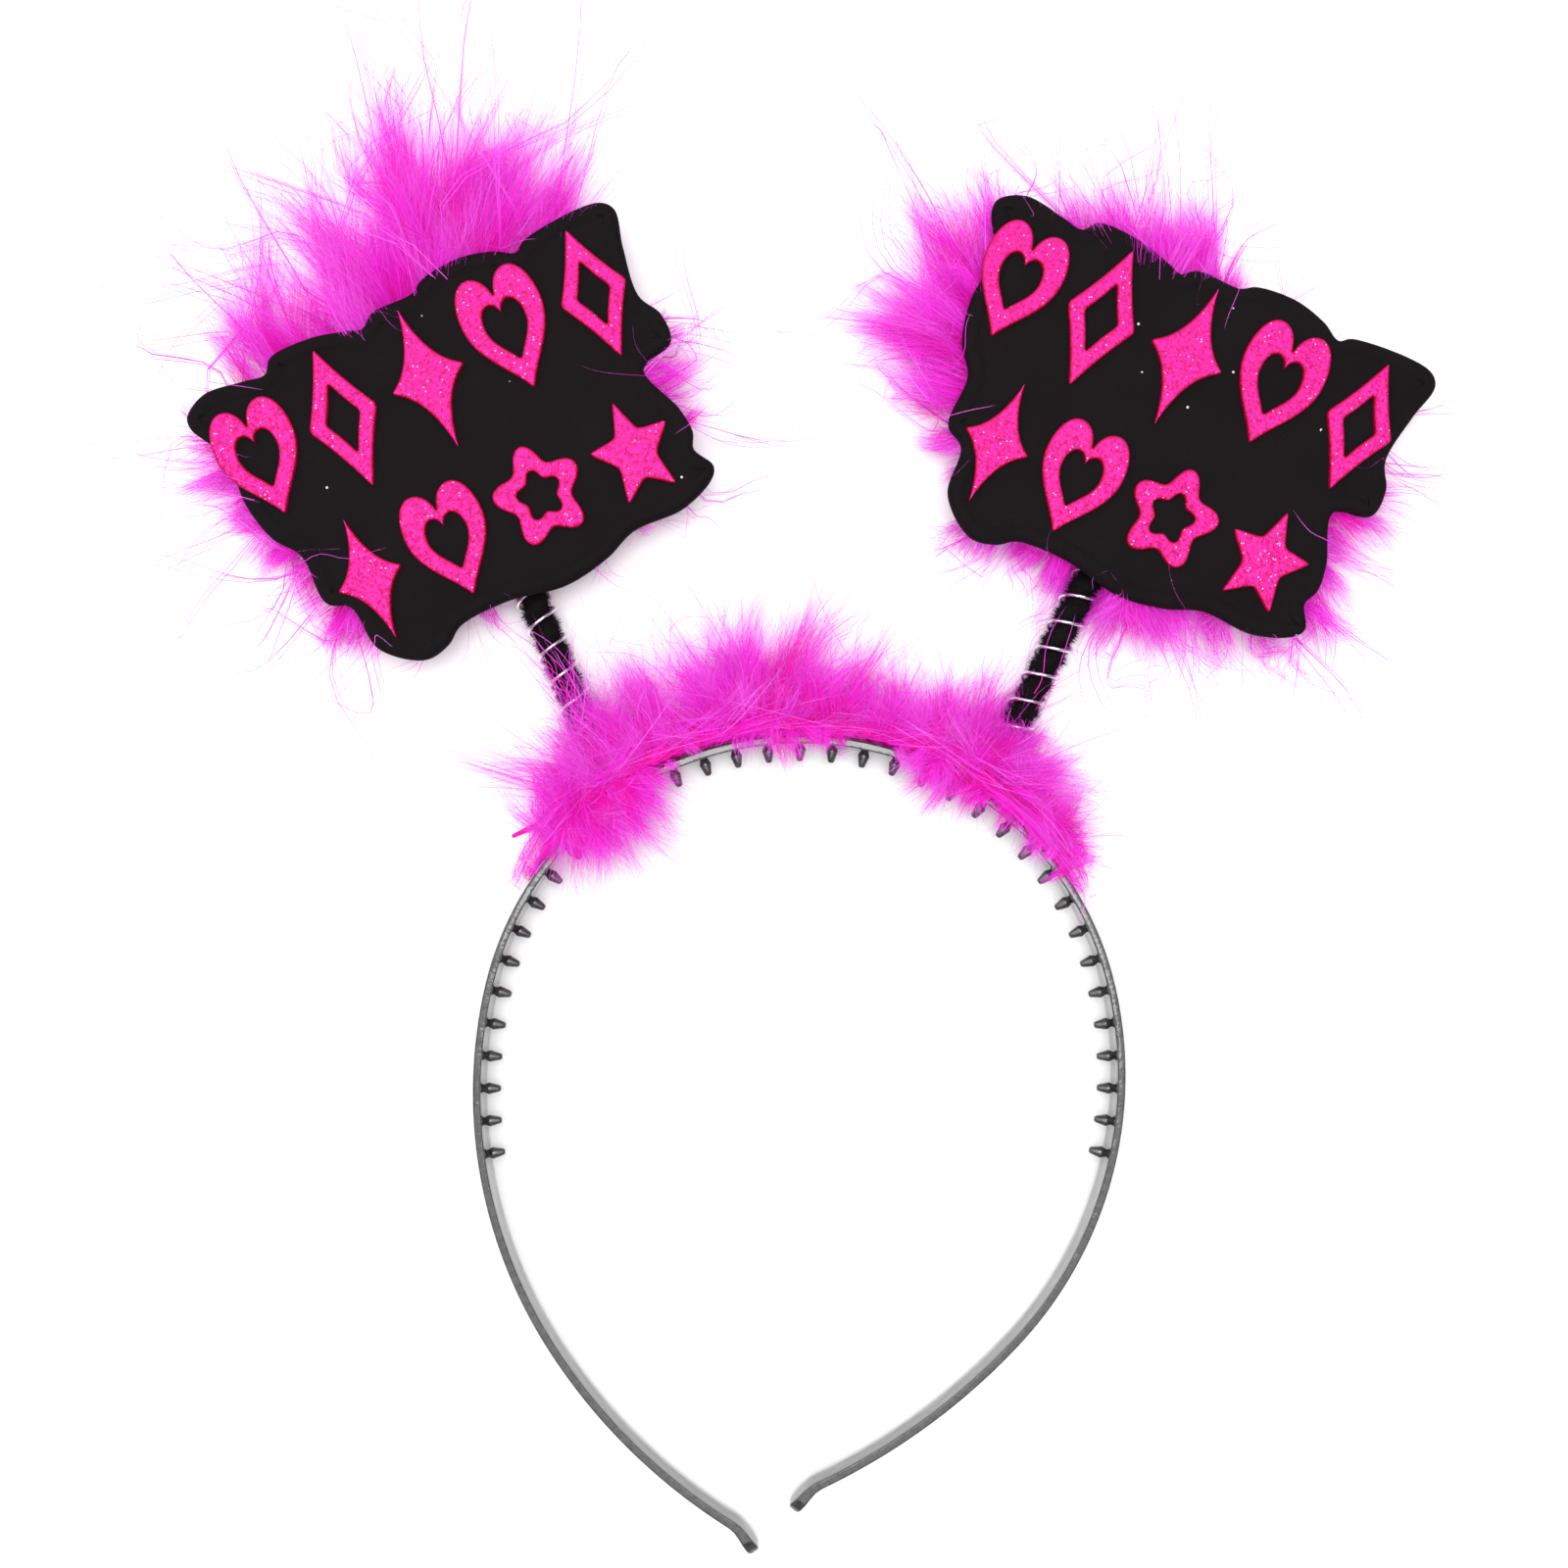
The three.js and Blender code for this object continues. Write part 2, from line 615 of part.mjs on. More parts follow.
// A tapering lock: four-sided rings of the half widths and heights given along its path, closed
// by a point at its tip, and flat where it meets the floor
function lock(path, halfWidths, halfHeights) {
  const count = 4;
  const rings = path.length - 1;
  const points = [];
  for (let k = 0; k < rings; k++) {
    const ahead = path[k + 1].clone().sub(path[Math.max(k - 1, 0)]).normalize();
    const aside = new THREE.Vector3().crossVectors(up, ahead).normalize();
    const over = new THREE.Vector3().crossVectors(ahead, aside);
    for (let i = 0; i < count; i++) {
      const angle = (i + 0.5) / count * 2 * Math.PI;
      points.push(path[k].clone()
        .addScaledVector(aside, Math.cos(angle) * halfWidths[k] * Math.SQRT2)
        .addScaledVector(over, Math.sin(angle) * halfHeights[k] * Math.SQRT2));
    }
  }
  points.push(path[rings]);
  for (const point of points) point.z = Math.max(point.z, 0);
  const faces = sideFaces(rings, count);
  const tip = rings * count;
  const last = tip - count;
  for (let i = 0; i < count; i++) faces.push(last + i, last + (i + 1) % count, tip);
  for (let i = 1; i + 1 < count; i++) faces.push(0, i + 1, i);
  return toSolid(meshOf(points.flatMap((p) => [p.x, p.y, p.z]), faces));
}

// An even spread of values from 0 to 1, one for each lock
function spread(k) {
  return (k * 0.618034) % 1;
}

// How far the board reaches from its middle at a bearing, taking it as a rectangle
function boardEdge(bearing, turn) {
  const angle = radians(bearing - turn);
  return Math.min(
    boardWidth / 2 / Math.abs(Math.cos(angle)),
    boardHeight / 2 / Math.abs(Math.sin(angle)),
  );
}

// The plume behind a board: a flat backing with locks that leave it all round
function plume(name) {
  const { turn, plumeReach } = sides[name];
  const middle = boardPlace(name);
  const top = boardBack - seatGap;
  const backing = [[0.62, 0], [0.72, top * 0.4], [0.66, top]].map(([share, height]) => boardLoop(18, share)
    .map((p) => p.applyAxisAngle(up, radians(turn)).add(middle).setZ(height)));
  const flat = (loop) => loop.map((p) => new THREE.Vector2(p.x, p.y));
  const solids = [toSolid(loft(backing, flat(backing[0]), flat(backing.at(-1))))];
  plumeRows[name].forEach((row, k) => {
    const edge = boardEdge(row.bearing, turn);
    const reach = row.reach * plumeReach;
    const wide = row.wide * plumeLockWidth;
    const bend = radians((spread(k) - 0.5) * 14);
    const at = (distance, height, turnBy = 0) => new THREE.Vector3(
      Math.cos(radians(row.bearing) + turnBy) * distance,
      Math.sin(radians(row.bearing) + turnBy) * distance, height).add(middle);
    const knee = Math.min(edge + 1, reach - 6);
    const belly = knee + (reach - knee) * 0.45;
    const lift = k % 3 === 1 ? lockFloor : plumeHeight * (0.35 + 0.65 * spread(k + 3));
    solids.push(lock(
      [at(edge * 0.5, top / 2), at(knee, top / 2), at(belly, (top + lift) / 2, bend), at(reach, lift, bend)],
      [wide * 0.8, wide, wide * 0.62], [top * 0.4, top / 2, top * 0.3]));
  });
  const placed = (height) => insetLoop(boardLoop(boardSamples), -seatGap, height)
    .map((p) => p.applyAxisAngle(up, radians(turn)).add(middle));
  const low = placed(top);
  const high = placed(boardFace + 3 * plumeHeight);
  const boardRoom = toSolid(loft([low, high], flat(low), flat(high)));
  return toGeometry(joined(solids).subtract(boardRoom).subtract(stalkRoom(name))
    .subtract(padDome(name, seatGap)));
}

// The trim's reach at a share of its span, straight between its rows
function trimAt(share) {
  const k = Math.max(1, trimRows.findIndex((row) => row.along >= share));
  const before = trimRows[k - 1];
  const after = trimRows[k];
  const mix = (share - before.along) / (after.along - before.along);
  return {
    out: trimReach * THREE.MathUtils.lerp(before.out, after.out, mix),
    in: trimInset * THREE.MathUtils.lerp(before.in, after.in, mix),
  };
}

// Places a point of the trim: along the strip, outward from its middle line, and up
function trimPoint(along, outward, height) {
  const frame = bandFrame(along);
  return frame.at.clone().addScaledVector(frame.out, outward).setZ(height);
}

// The marabou trim: a core that sits on the strip's outer face and laps over its upper edge, with
// locks that leave it outward, upward and inward
function trim() {
  const face = bandWall / 2 + seatGap;
  const rim = bandWidth + seatGap;
  const loops = [];
  const flats = [];
  for (let k = 0; k <= trimStations; k++) {
    const share = -1 + 2 * k / trimStations;
    const reach = trimAt(share);
    const deep = face + 1 + reach.out * 0.5;
    const lap = -bandWall / 2 - reach.in * 0.4;
    const crest = rim + 1 + trimHeight * 0.32 * Math.min(1, reach.out / trimReach + 0.2);
    const corners = [
      [face, 0.4], [deep * 0.8, 0], [deep, bandWidth * 0.45], [deep * 0.8, crest - 2],
      [deep * 0.4, crest], [lap * 0.4, crest - 1], [lap, rim + 1], [lap, rim], [face, rim],
    ];
    loops.push(corners.map(([outward, height]) => trimPoint(share * trimSpan, outward, height)));
    flats.push(corners.map(([outward, height]) => new THREE.Vector2(outward, height)));
  }
  const solids = [toSolid(loft(loops, flats[0], flats.at(-1)))];
  for (let k = 1; k < trimStations; k++) {
    const share = -1 + 2 * (k + spread(k) * 0.4) / trimStations;
    const along = share * trimSpan;
    const reach = trimAt(share);
    const root = face + 2;
    const lean = (spread(2 * k) - 0.5) * 0.5 * (reach.out - root);
    const wide = trimLockWidth * Math.min(1, reach.out / trimReach + 0.35);
    const outward = (part) => root + (reach.out - root) * part;
    const [from, to] = k % 2 === 0 ? [4, lockFloor] : [12, 14];
    solids.push(lock([trimPoint(along, root, from), trimPoint(along + lean / 2, outward(0.55), from),
      trimPoint(along + lean, outward(1), to)], [wide, wide * 0.8], [2.2, 2]));
    solids.push(lock([trimPoint(along, root, 13), trimPoint(along - lean / 2, outward(0.3), 17),
      trimPoint(along - lean, outward(0.5), trimHeight * (0.8 + 0.2 * spread(k)))],
    [wide, wide * 0.7], [2, 1.6]));
    if (reach.in > trimInset * 0.25) {
      solids.push(lock([trimPoint(along, root, 13), trimPoint(along, -reach.in * 0.35, 13.4),
        trimPoint(along + lean / 2, -reach.in, 13)], [wide, wide * 0.7], [1.6, 1.3]));
    }
  }
  return toGeometry(joined(solids).subtract(stalkRoom('left')).subtract(stalkRoom('right')));
}

const model = new THREE.Group();
model.add(piece('headband', headband(), 'plastic'));
model.add(piece('boa_trim', trim(), 'marabou'));
for (const name of Object.keys(sides)) {
  model.add(sign(name));
  model.add(piece(`${name}_spring`, spring(name), 'wire'));
  model.add(piece(`${name}_stem`, stem(name), 'pile'));
  model.add(piece(`${name}_spring_foot`, springFoot(name), 'plastic'));
  model.add(piece(`${name}_glue_pad`, gluePad(name), 'glue'));
  model.add(piece(`${name}_plume`, plume(name), 'marabou'));
}

// The origin is the bottom centre of the whole box
const box = new THREE.Box3().setFromObject(model);
const centre = box.getCenter(new THREE.Vector3());
model.position.set(-centre.x, -centre.y, -box.min.z);

export default model;
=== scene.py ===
import math

import bpy
import numpy as np
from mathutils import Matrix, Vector
from mathutils.geometry import tessellate_polygon


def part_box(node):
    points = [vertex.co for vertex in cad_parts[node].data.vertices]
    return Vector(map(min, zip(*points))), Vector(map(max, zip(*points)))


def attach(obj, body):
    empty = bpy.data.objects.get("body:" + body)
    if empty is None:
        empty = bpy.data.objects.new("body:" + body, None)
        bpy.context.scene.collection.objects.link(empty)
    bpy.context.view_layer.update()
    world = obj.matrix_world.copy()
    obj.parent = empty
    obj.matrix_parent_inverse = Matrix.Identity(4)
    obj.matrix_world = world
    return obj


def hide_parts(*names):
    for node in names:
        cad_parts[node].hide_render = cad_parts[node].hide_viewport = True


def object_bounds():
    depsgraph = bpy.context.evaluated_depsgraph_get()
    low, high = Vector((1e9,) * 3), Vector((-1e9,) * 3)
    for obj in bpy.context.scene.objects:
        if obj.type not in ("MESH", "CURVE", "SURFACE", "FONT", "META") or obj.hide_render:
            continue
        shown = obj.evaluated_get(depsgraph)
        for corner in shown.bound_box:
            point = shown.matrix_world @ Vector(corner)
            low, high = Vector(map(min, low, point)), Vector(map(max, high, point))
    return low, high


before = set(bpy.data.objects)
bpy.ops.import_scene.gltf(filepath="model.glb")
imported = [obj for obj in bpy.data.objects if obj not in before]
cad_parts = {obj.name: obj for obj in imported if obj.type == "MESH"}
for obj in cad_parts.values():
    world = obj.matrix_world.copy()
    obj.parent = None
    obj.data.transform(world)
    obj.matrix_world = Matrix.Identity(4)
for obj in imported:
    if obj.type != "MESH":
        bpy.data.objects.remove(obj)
cadLow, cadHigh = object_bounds()
mm = 0.001
up = np.array([0, 0, 1.0])
print("frame loaded:", len(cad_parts), "nodes")


# The strip's middle line, as in the solids: arcs from the crown's middle down each side, then the
# bend and the straight of the tip. Arcs are shares of length and of crownRadius. Sizes in mm.
strip = {
    "width": 10.0,
    "wall": 1.5,
    "edgeRound": 0.28,
    "crownRadius": 61.2,
    "left": {"length": 203.5, "arcs": [(0.404, 1.0), (0.352, 1.487), (0.244, 1.8)]},
    "right": {"length": 202.9, "arcs": [(0.402, 1.0), (0.366, 1.232), (0.232, 2.021)]},
    "tipBendRadius": 7.0,
    "tipBendLength": 2.8,
    "tipLength": 4.8,
    "tipRound": 3.2,
    "taperFrom": 55.0,
    "tipWidth": 5.8,
    "tipSwell": 0.5,
    "tipSwellLength": 9.0,
    "tipWallRound": 1.1,
    "mostRound": 0.9995,
    "stations": 300,
}


# Place, outward direction and running direction on the middle line: arcs laid end to end, each
# turning the heading by its run over its radius; the left side is mirrored.
def sideFrames(distance, side):
    row = strip[side]
    arcs = [(share * row["length"], radius * strip["crownRadius"]) for share, radius in row["arcs"]]
    arcs.append((strip["tipBendLength"], -strip["tipBendRadius"]))
    left = np.abs(distance)
    heading, x, y = np.zeros_like(left), np.zeros_like(left), np.zeros_like(left)
    for length, radius in arcs:
        run = np.minimum(left, length)
        after = heading + run / radius
        x += radius * (np.sin(after) - np.sin(heading))
        y += radius * (np.cos(after) - np.cos(heading))
        heading, left = after, left - run
    x += left * np.cos(heading)
    y -= left * np.sin(heading)
    sign = -1.0 if side == "left" else 1.0
    flat = np.zeros_like(x)
    return [
        np.stack([sign * x, y, flat], -1),
        np.stack([sign * np.sin(heading), np.cos(heading), flat], -1),
        np.stack([np.cos(heading), -sign * np.sin(heading), flat], -1),
    ]


def stripFrames(distance):
    distance = np.asarray(distance, float)
    pairs = zip(sideFrames(distance, "left"), sideFrames(distance, "right"))
    return [np.where(distance[..., None] < 0, left, right) for left, right in pairs]


def stripEnd(side):
    return strip[side]["length"] + strip["tipBendLength"] + strip["tipLength"]


# Shapes are worked out in mm from the crown's middle, then moved so that the strip fills its node
def crownPlace():
    at, out, _ = stripFrames(np.linspace(-stripEnd("left"), stripEnd("right"), 1600))
    half = out * strip["wall"] / 2
    skin = np.concatenate([at + half, at - half])
    low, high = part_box("headband")
    middle = (low.x + high.x) / 2 / mm - (skin[:, 0].min() + skin[:, 0].max()) / 2
    return np.array([middle, high.y / mm - skin[:, 1].max(), 0.0])


crown = crownPlace()
print("crown at", crown.round(2), "mm")


# Quads between rows of points, closed around each row unless it is open
def gridFaces(rows, columns, closed=True):
    row, column = np.meshgrid(
        np.arange(rows - 1), np.arange(columns if closed else columns - 1), indexing="ij")
    a = (row * columns + column).ravel()
    b = (row * columns + (column + 1) % columns).ravel()
    return np.stack([a, b, b + columns, a + columns], -1)


# Six times the volume inside the faces: the sum of corner . (corner x corner) over their fans
def volumeOf(points, faceSets):
    total = 0.0
    for faces in faceSets:
        for k in range(1, faces.shape[1] - 1):
            a, b, c = points[faces[:, 0]], points[faces[:, k]], points[faces[:, k + 1]]
            total += np.einsum("ij,ij->", a, np.cross(b, c))
    return total


def outward(points, faceSets):
    centred = points - points.mean(0)
    return faceSets if volumeOf(centred, faceSets) > 0 else [faces[:, ::-1] for faces in faceSets]


# A closed body from rings (rows, columns, 3): quads between them and a fan to a pole at each end
def ringBody(rings):
    rows, columns, _ = rings.shape
    points = np.concatenate([rings.reshape(-1, 3), rings[0].mean(0)[None], rings[-1].mean(0)[None]])
    around = np.arange(columns)
    after = (around + 1) % columns
    last = (rows - 1) * columns
    pole = rows * columns
    start = np.stack([np.full(columns, pole), after, around], -1)
    end = np.stack([np.full(columns, pole + 1), last + around, last + after], -1)
    return points, outward(points, [gridFaces(rows, columns), start, end])


# Several bodies in one: their points in a row, their faces counted on
def mergeBodies(bodies):
    counts = np.cumsum([0] + [len(points) for points, _ in bodies])
    points = np.concatenate([points for points, _ in bodies])
    sizes = sorted({faces.shape[1] for _, faceSets in bodies for faces in faceSets})
    merged = []
    for size in sizes:
        merged.append(np.concatenate([
            faces + start for start, (_, faceSets) in zip(counts, bodies)
            for faces in faceSets if faces.shape[1] == size]))
    return points, merged


# One mesh from a body in mm, with its point values, laid on the root in the place of its nodes
def addPiece(name, body, material, replaced, values=None, sharpAngle=None):
    points, faceSets = body
    mesh = bpy.data.meshes.new(name)
    corners = np.concatenate([faces.ravel() for faces in faceSets]).astype(np.int32)
    sizes = np.concatenate([np.full(len(faces), faces.shape[1]) for faces in faceSets])
    starts = (np.cumsum(sizes) - sizes).astype(np.int32)
    mesh.vertices.add(len(points))
    mesh.vertices.foreach_set("co", ((points + crown) * mm).astype(np.float32).ravel())
    mesh.loops.add(len(corners))
    mesh.loops.foreach_set("vertex_index", corners)
    mesh.polygons.add(len(sizes))
    mesh.polygons.foreach_set("loop_start", starts)
    mesh.update(calc_edges=True)
    mesh.validate()
    mesh.shade_smooth()
    if sharpAngle:
        mesh.set_sharp_from_angle(angle=math.radians(sharpAngle))
    for key, field in (values or {}).items():
        held = mesh.attributes.new(key, "FLOAT", "POINT")
        held.data.foreach_set("value", field.astype(np.float32))
    piece = bpy.data.objects.new(name, mesh)
    bpy.context.scene.collection.objects.link(piece)
    mesh.materials.append(material)
    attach(piece, "root")
    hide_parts(*replaced)
    print(name, len(mesh.polygons), "faces")


def unit(vectors):
    return vectors / np.maximum(np.linalg.norm(vectors, axis=-1, keepdims=True), 1e-9)


def smoothStep(share):
    share = np.clip(share, 0, 1)
    return share * share * (3 - 2 * share)


# A small hand for building node trees: add a node, set its values, join its sockets
class Tree:
    def __init__(self, tree):
        self.tree = tree

    def add(self, kind, settings=None, **inputs):
        node = self.tree.nodes.new(kind)
        for key, value in (settings or {}).items():
            setattr(node, key, value)
        for key, value in inputs.items():
            self.feed(node, key, value)
        return node

    def feed(self, node, key, value):
        numbered = key[0] == "i" and key[1:].isdigit()
        socket = node.inputs[int(key[1:]) if numbered else key]
        if isinstance(value, bpy.types.NodeSocket):
            self.tree.links.new(value, socket)
        else:
            socket.default_value = value

    def math(self, operation, a, b=0.0, clamp=False):
        settings = {"operation": operation, "use_clamp": clamp}
        return self.add("ShaderNodeMath", settings, i0=a, i1=b).outputs[0]

    def vector(self, operation, **inputs):
        return self.add("ShaderNodeVectorMath", {"operation": operation}, **inputs).outputs[0]

    def field(self, name):
        return self.add("ShaderNodeAttribute", {"attribute_name": name}).outputs["Fac"]

    def span(self, value, low, high, newLow=0.0, newHigh=1.0):
        ends = {"i1": low, "i2": high, "i3": newLow, "i4": newHigh}
        return self.add("ShaderNodeMapRange", None, i0=value, **ends).outputs[0]

    def mix(self, factor, a, b):
        node = self.add("ShaderNodeMix", {"data_type": "RGBA"})
        self.feed(node, "i0", factor)
        self.feed(node, "i6", a)
        self.feed(node, "i7", b)
        return node.outputs[2]


# A node group with its sockets: inputs as (name, kind, value), outputs as (name, kind)
def newGroup(name, inputs, outputs):
    group = bpy.data.node_groups.new(name, "ShaderNodeTree")
    for label, kind, value in inputs:
        made = group.interface.new_socket(name=label, in_out="INPUT", socket_type="NodeSocket" + kind)
        made.default_value = value
    for label, kind in outputs:
        group.interface.new_socket(name=label, in_out="OUTPUT", socket_type="NodeSocket" + kind)
    t = Tree(group)
    return group, t, t.add("NodeGroupInput").outputs, t.add("NodeGroupOutput")


# Surface grain: fine noise laid over broad noise. Height is for bumps, Tone and Patch vary colours.
def grainGroup():
    group, t, given, put = newGroup(
        "surfaceGrain", [("Fine Scale", "Float", 1500.0), ("Broad Scale", "Float", 60.0)],
        [("Height", "Float"), ("Tone", "Float"), ("Patch", "Float")])
    place = t.add("ShaderNodeTexCoord").outputs["Object"]
    noises = []
    for scale, detail in (("Fine Scale", 3.0), ("Broad Scale", 4.0)):
        noises.append(t.add("ShaderNodeTexNoise", None, Vector=place, Scale=given[scale],
                            Detail=detail, Roughness=0.6).outputs[0])
    t.feed(put, "Height", noises[0])
    t.feed(put, "Tone", t.span(noises[0], 0.35, 0.65))
    t.feed(put, "Patch", t.span(noises[1], 0.36, 0.64))
    return group


# Glitter: flakes are cells, each with its own shade and tilt; a rare few, drawn at random, are marked
# Bright, which the glitter paints as glowing white glints (painted highlight) and the foam uses for its
# real stray pale fibres
def flakeGroup():
    group, t, given, put = newGroup(
        "glitterFlakes",
        [("Flake Scale", "Float", 2400.0), ("Bright Share", "Float", 0.02), ("Tilt", "Float", 0.5)],
        [("Shade", "Float"), ("Bright", "Float"), ("Normal", "Vector")])
    place = t.add("ShaderNodeTexCoord").outputs["Object"]
    cells = t.add("ShaderNodeTexVoronoi", None, Vector=place, Scale=given["Flake Scale"]).outputs
    spread = t.add("ShaderNodeSeparateColor", None, Color=cells["Color"])
    rare = t.math("GREATER_THAN", spread.outputs[0], t.math("SUBTRACT", 1.0, given["Bright Share"]))
    core = t.span(cells["Distance"], 0.42, 0.3)
    t.feed(put, "Shade", spread.outputs[1])
    t.feed(put, "Bright", t.math("MULTIPLY", rare, core, clamp=True))
    centred = t.vector("SUBTRACT", i0=cells["Color"], i1=(0.5, 0.5, 0.5))
    tilted = t.vector("SCALE", i0=centred, Scale=given["Tilt"])
    normal = t.add("ShaderNodeNewGeometry").outputs["Normal"]
    t.feed(put, "Normal", t.vector("NORMALIZE", i0=t.vector("ADD", i0=normal, i1=tilted)))
    return group


# Fibre colour: from the root's deep colour to the tip's pale one, shifted by each fibre's own value; in the
# down this shift is partly real tone and partly painted light and shade
def fibreGroup():
    group, t, given, put = newGroup(
        "fibreColour",
        [("Root", "Color", (0.5, 0.01, 0.2, 1)), ("Middle", "Color", (0.8, 0.1, 0.5, 1)),
         ("Tip", "Color", (0.9, 0.3, 0.7, 1)), ("Vary", "Float", 0.3)],
        [("Color", "Color")])
    shade = t.math("MULTIPLY", t.math("SUBTRACT", t.field("own"), 0.5), given["Vary"])
    shifted = t.math("ADD", t.field("along"), shade)
    low = t.mix(t.span(shifted, 0.0, 0.35), given["Root"], given["Middle"])
    t.feed(put, "Color", t.mix(t.span(shifted, 0.35, 1.0), low, given["Tip"]))
    return group


surfaceGrain, glitterFlakes, fibreColour = grainGroup(), flakeGroup(), fibreGroup()


# A new material with its Principled shader; plain values are set on the shader's own sockets
def newMaterial(name, **values):
    material = bpy.data.materials.new(name)
    material.use_nodes = True
    t = Tree(material.node_tree)
    shader = material.node_tree.nodes["Principled BSDF"]
    for key, value in values.items():
        shader.inputs[key.replace("_", " ")].default_value = value
    return material, t, shader


def useGroup(t, group, **inputs):
    node = t.add("ShaderNodeGroup", {"node_tree": group})
    for key, value in inputs.items():
        t.feed(node, key.replace("_", " "), value)
    return node.outputs


def bumpFrom(t, shader, height, strength, distance):
    bump = t.add("ShaderNodeBump", None, Height=height, Strength=strength, Distance=distance)
    t.feed(shader, "Normal", bump.outputs[0])


# A grained material: its colour and roughness run between two values with the grain's outputs
def grainedMaterial(name, look, **values):
    material, t, shader = newMaterial(name, **values)
    grain = useGroup(t, surfaceGrain, Fine_Scale=look["fine"], Broad_Scale=look["broad"])
    t.feed(shader, "Base Color", t.mix(grain[look["colorBy"]], look["color"], look["second"]))
    t.feed(shader, "Roughness", t.span(grain[look["roughBy"]], 0.0, 1.0, *look["rough"]))
    bumpFrom(t, shader, grain[look["bumpBy"]], look["bump"], look["depth"])
    return material, t, shader


plasticLook = {
    "fine": 900.0, "broad": 140.0,
    "color": (0.014, 0.0125, 0.014, 1), "second": (0.05, 0.047, 0.05, 1), "colorBy": "Tone",
    "rough": (0.05, 0.18), "roughBy": "Patch",
    "bump": 0.25, "depth": 0.0004, "bumpBy": "Patch",
}


def plasticMaterial():
    material, t, shader = grainedMaterial("mouldedPlastic", plasticLook, IOR=1.5, Coat_Roughness=0.04)
    t.feed(shader, "Coat Weight", t.field("gloss"))
    return material


foamLook = {
    "color": (0.0038, 0.0026, 0.003, 1),
    "dusty": (0.0095, 0.0072, 0.0082, 1),
    "stray": (0.75, 0.55, 0.65, 1),
    "strayShare": 0.0006,
    "bump": 0.6,
}


def foamMaterial():
    material, t, shader = newMaterial("craftFoam", Specular_IOR_Level=0.1)
    grain = useGroup(t, surfaceGrain, Fine_Scale=2600.0, Broad_Scale=70.0)
    tone = t.math("MULTIPLY", grain["Tone"], t.span(grain["Patch"], 0.0, 1.0, 0.55, 1.0))
    stray = useGroup(t, glitterFlakes, Flake_Scale=1500.0, Bright_Share=foamLook["strayShare"], Tilt=0.2)
    dark = t.mix(tone, foamLook["color"], foamLook["dusty"])
    t.feed(shader, "Base Color", t.mix(stray["Bright"], dark, foamLook["stray"]))
    t.feed(shader, "Roughness", t.span(grain["Tone"], 0.0, 1.0, 0.72, 0.95))
    bumpFrom(t, shader, grain["Height"], foamLook["bump"], 0.0003)
    return material


glitterLook = {
    "deep": (0.5, 0.003, 0.13, 1),
    "pink": (0.68, 0.009, 0.27, 1),
    "light": (0.8, 0.03, 0.38, 1),
    # edge: painted shade, the deeper red on a motif's sides and rounding
    "edge": (0.4, 0.001, 0.03, 1),
    # spark, sparkShare and sparkGlow: painted highlight, white glints that glow
    "spark": (1, 0.93, 0.97, 1),
    "sparkShare": 0.035,
    "sparkGlow": 0.9,
}


def glitterMaterial():
    material, t, shader = newMaterial("pinkGlitter", Specular_IOR_Level=0.12,
                                      Emission_Strength=glitterLook["sparkGlow"])
    flakes = useGroup(t, glitterFlakes, Flake_Scale=2500.0, Bright_Share=glitterLook["sparkShare"],
                      Tilt=0.55)
    # Painted shade: the edge field darkens the motif's sides and rounding to a deeper red
    edge = t.field("edge")
    low = t.mix(t.span(flakes["Shade"], 0.0, 0.6), glitterLook["deep"], glitterLook["pink"])
    field = t.mix(t.span(flakes["Shade"], 0.6, 1.0), low, glitterLook["light"])
    t.feed(shader, "Base Color", t.mix(edge, field, glitterLook["edge"]))
    t.feed(shader, "Roughness", t.span(flakes["Shade"], 0.0, 1.0, 0.5, 0.28))
    t.feed(shader, "Normal", flakes["Normal"])
    # Painted highlight: the rare Bright flakes, off the edge rings, glow white as glints
    paintedGlints = t.math("MULTIPLY", flakes["Bright"], t.math("SUBTRACT", 1.0, edge))
    t.feed(shader, "Emission Color", t.mix(paintedGlints, (0, 0, 0, 1), glitterLook["spark"]))
    return material


wireLook = {
    "fine": 1400.0, "broad": 260.0,
    "color": (0.88, 0.88, 0.9, 1), "second": (0.5, 0.5, 0.53, 1), "colorBy": "Patch",
    "rough": (0.14, 0.32), "roughBy": "Tone",
    "bump": 0.2, "depth": 0.00005, "bumpBy": "Height",
}
glueLook = {
    "fine": 700.0, "broad": 160.0,
    "color": (0.96, 0.96, 0.97, 1), "second": (0.8, 0.78, 0.82, 1), "colorBy": "Patch",
    "rough": (0.06, 0.3), "roughBy": "Patch",
    "bump": 0.3, "depth": 0.0005, "bumpBy": "Patch",
}
pileLook = {
    "root": (0.0008, 0.0005, 0.0007, 1),
    "middle": (0.0016, 0.0008, 0.0013, 1),
    "tip": (0.007, 0.003, 0.0055, 1),
    "vary": 0.6,
    "paintedGlow": 0.0,
}
downLook = {
    "root": (0.72, 0.003, 0.36, 1),
    "middle": (0.79, 0.014, 0.67, 1),
    "tip": (0.82, 0.15, 0.77, 1),
    # vary: each lock's and fibre's own shift of tone, partly the down's uneven colour and partly painted
    # light and shade
    "vary": 0.9,
    # paintedGlow: painted light, the down glows so that its self-shaded depths stay bright pink
    "paintedGlow": 0.13,
}


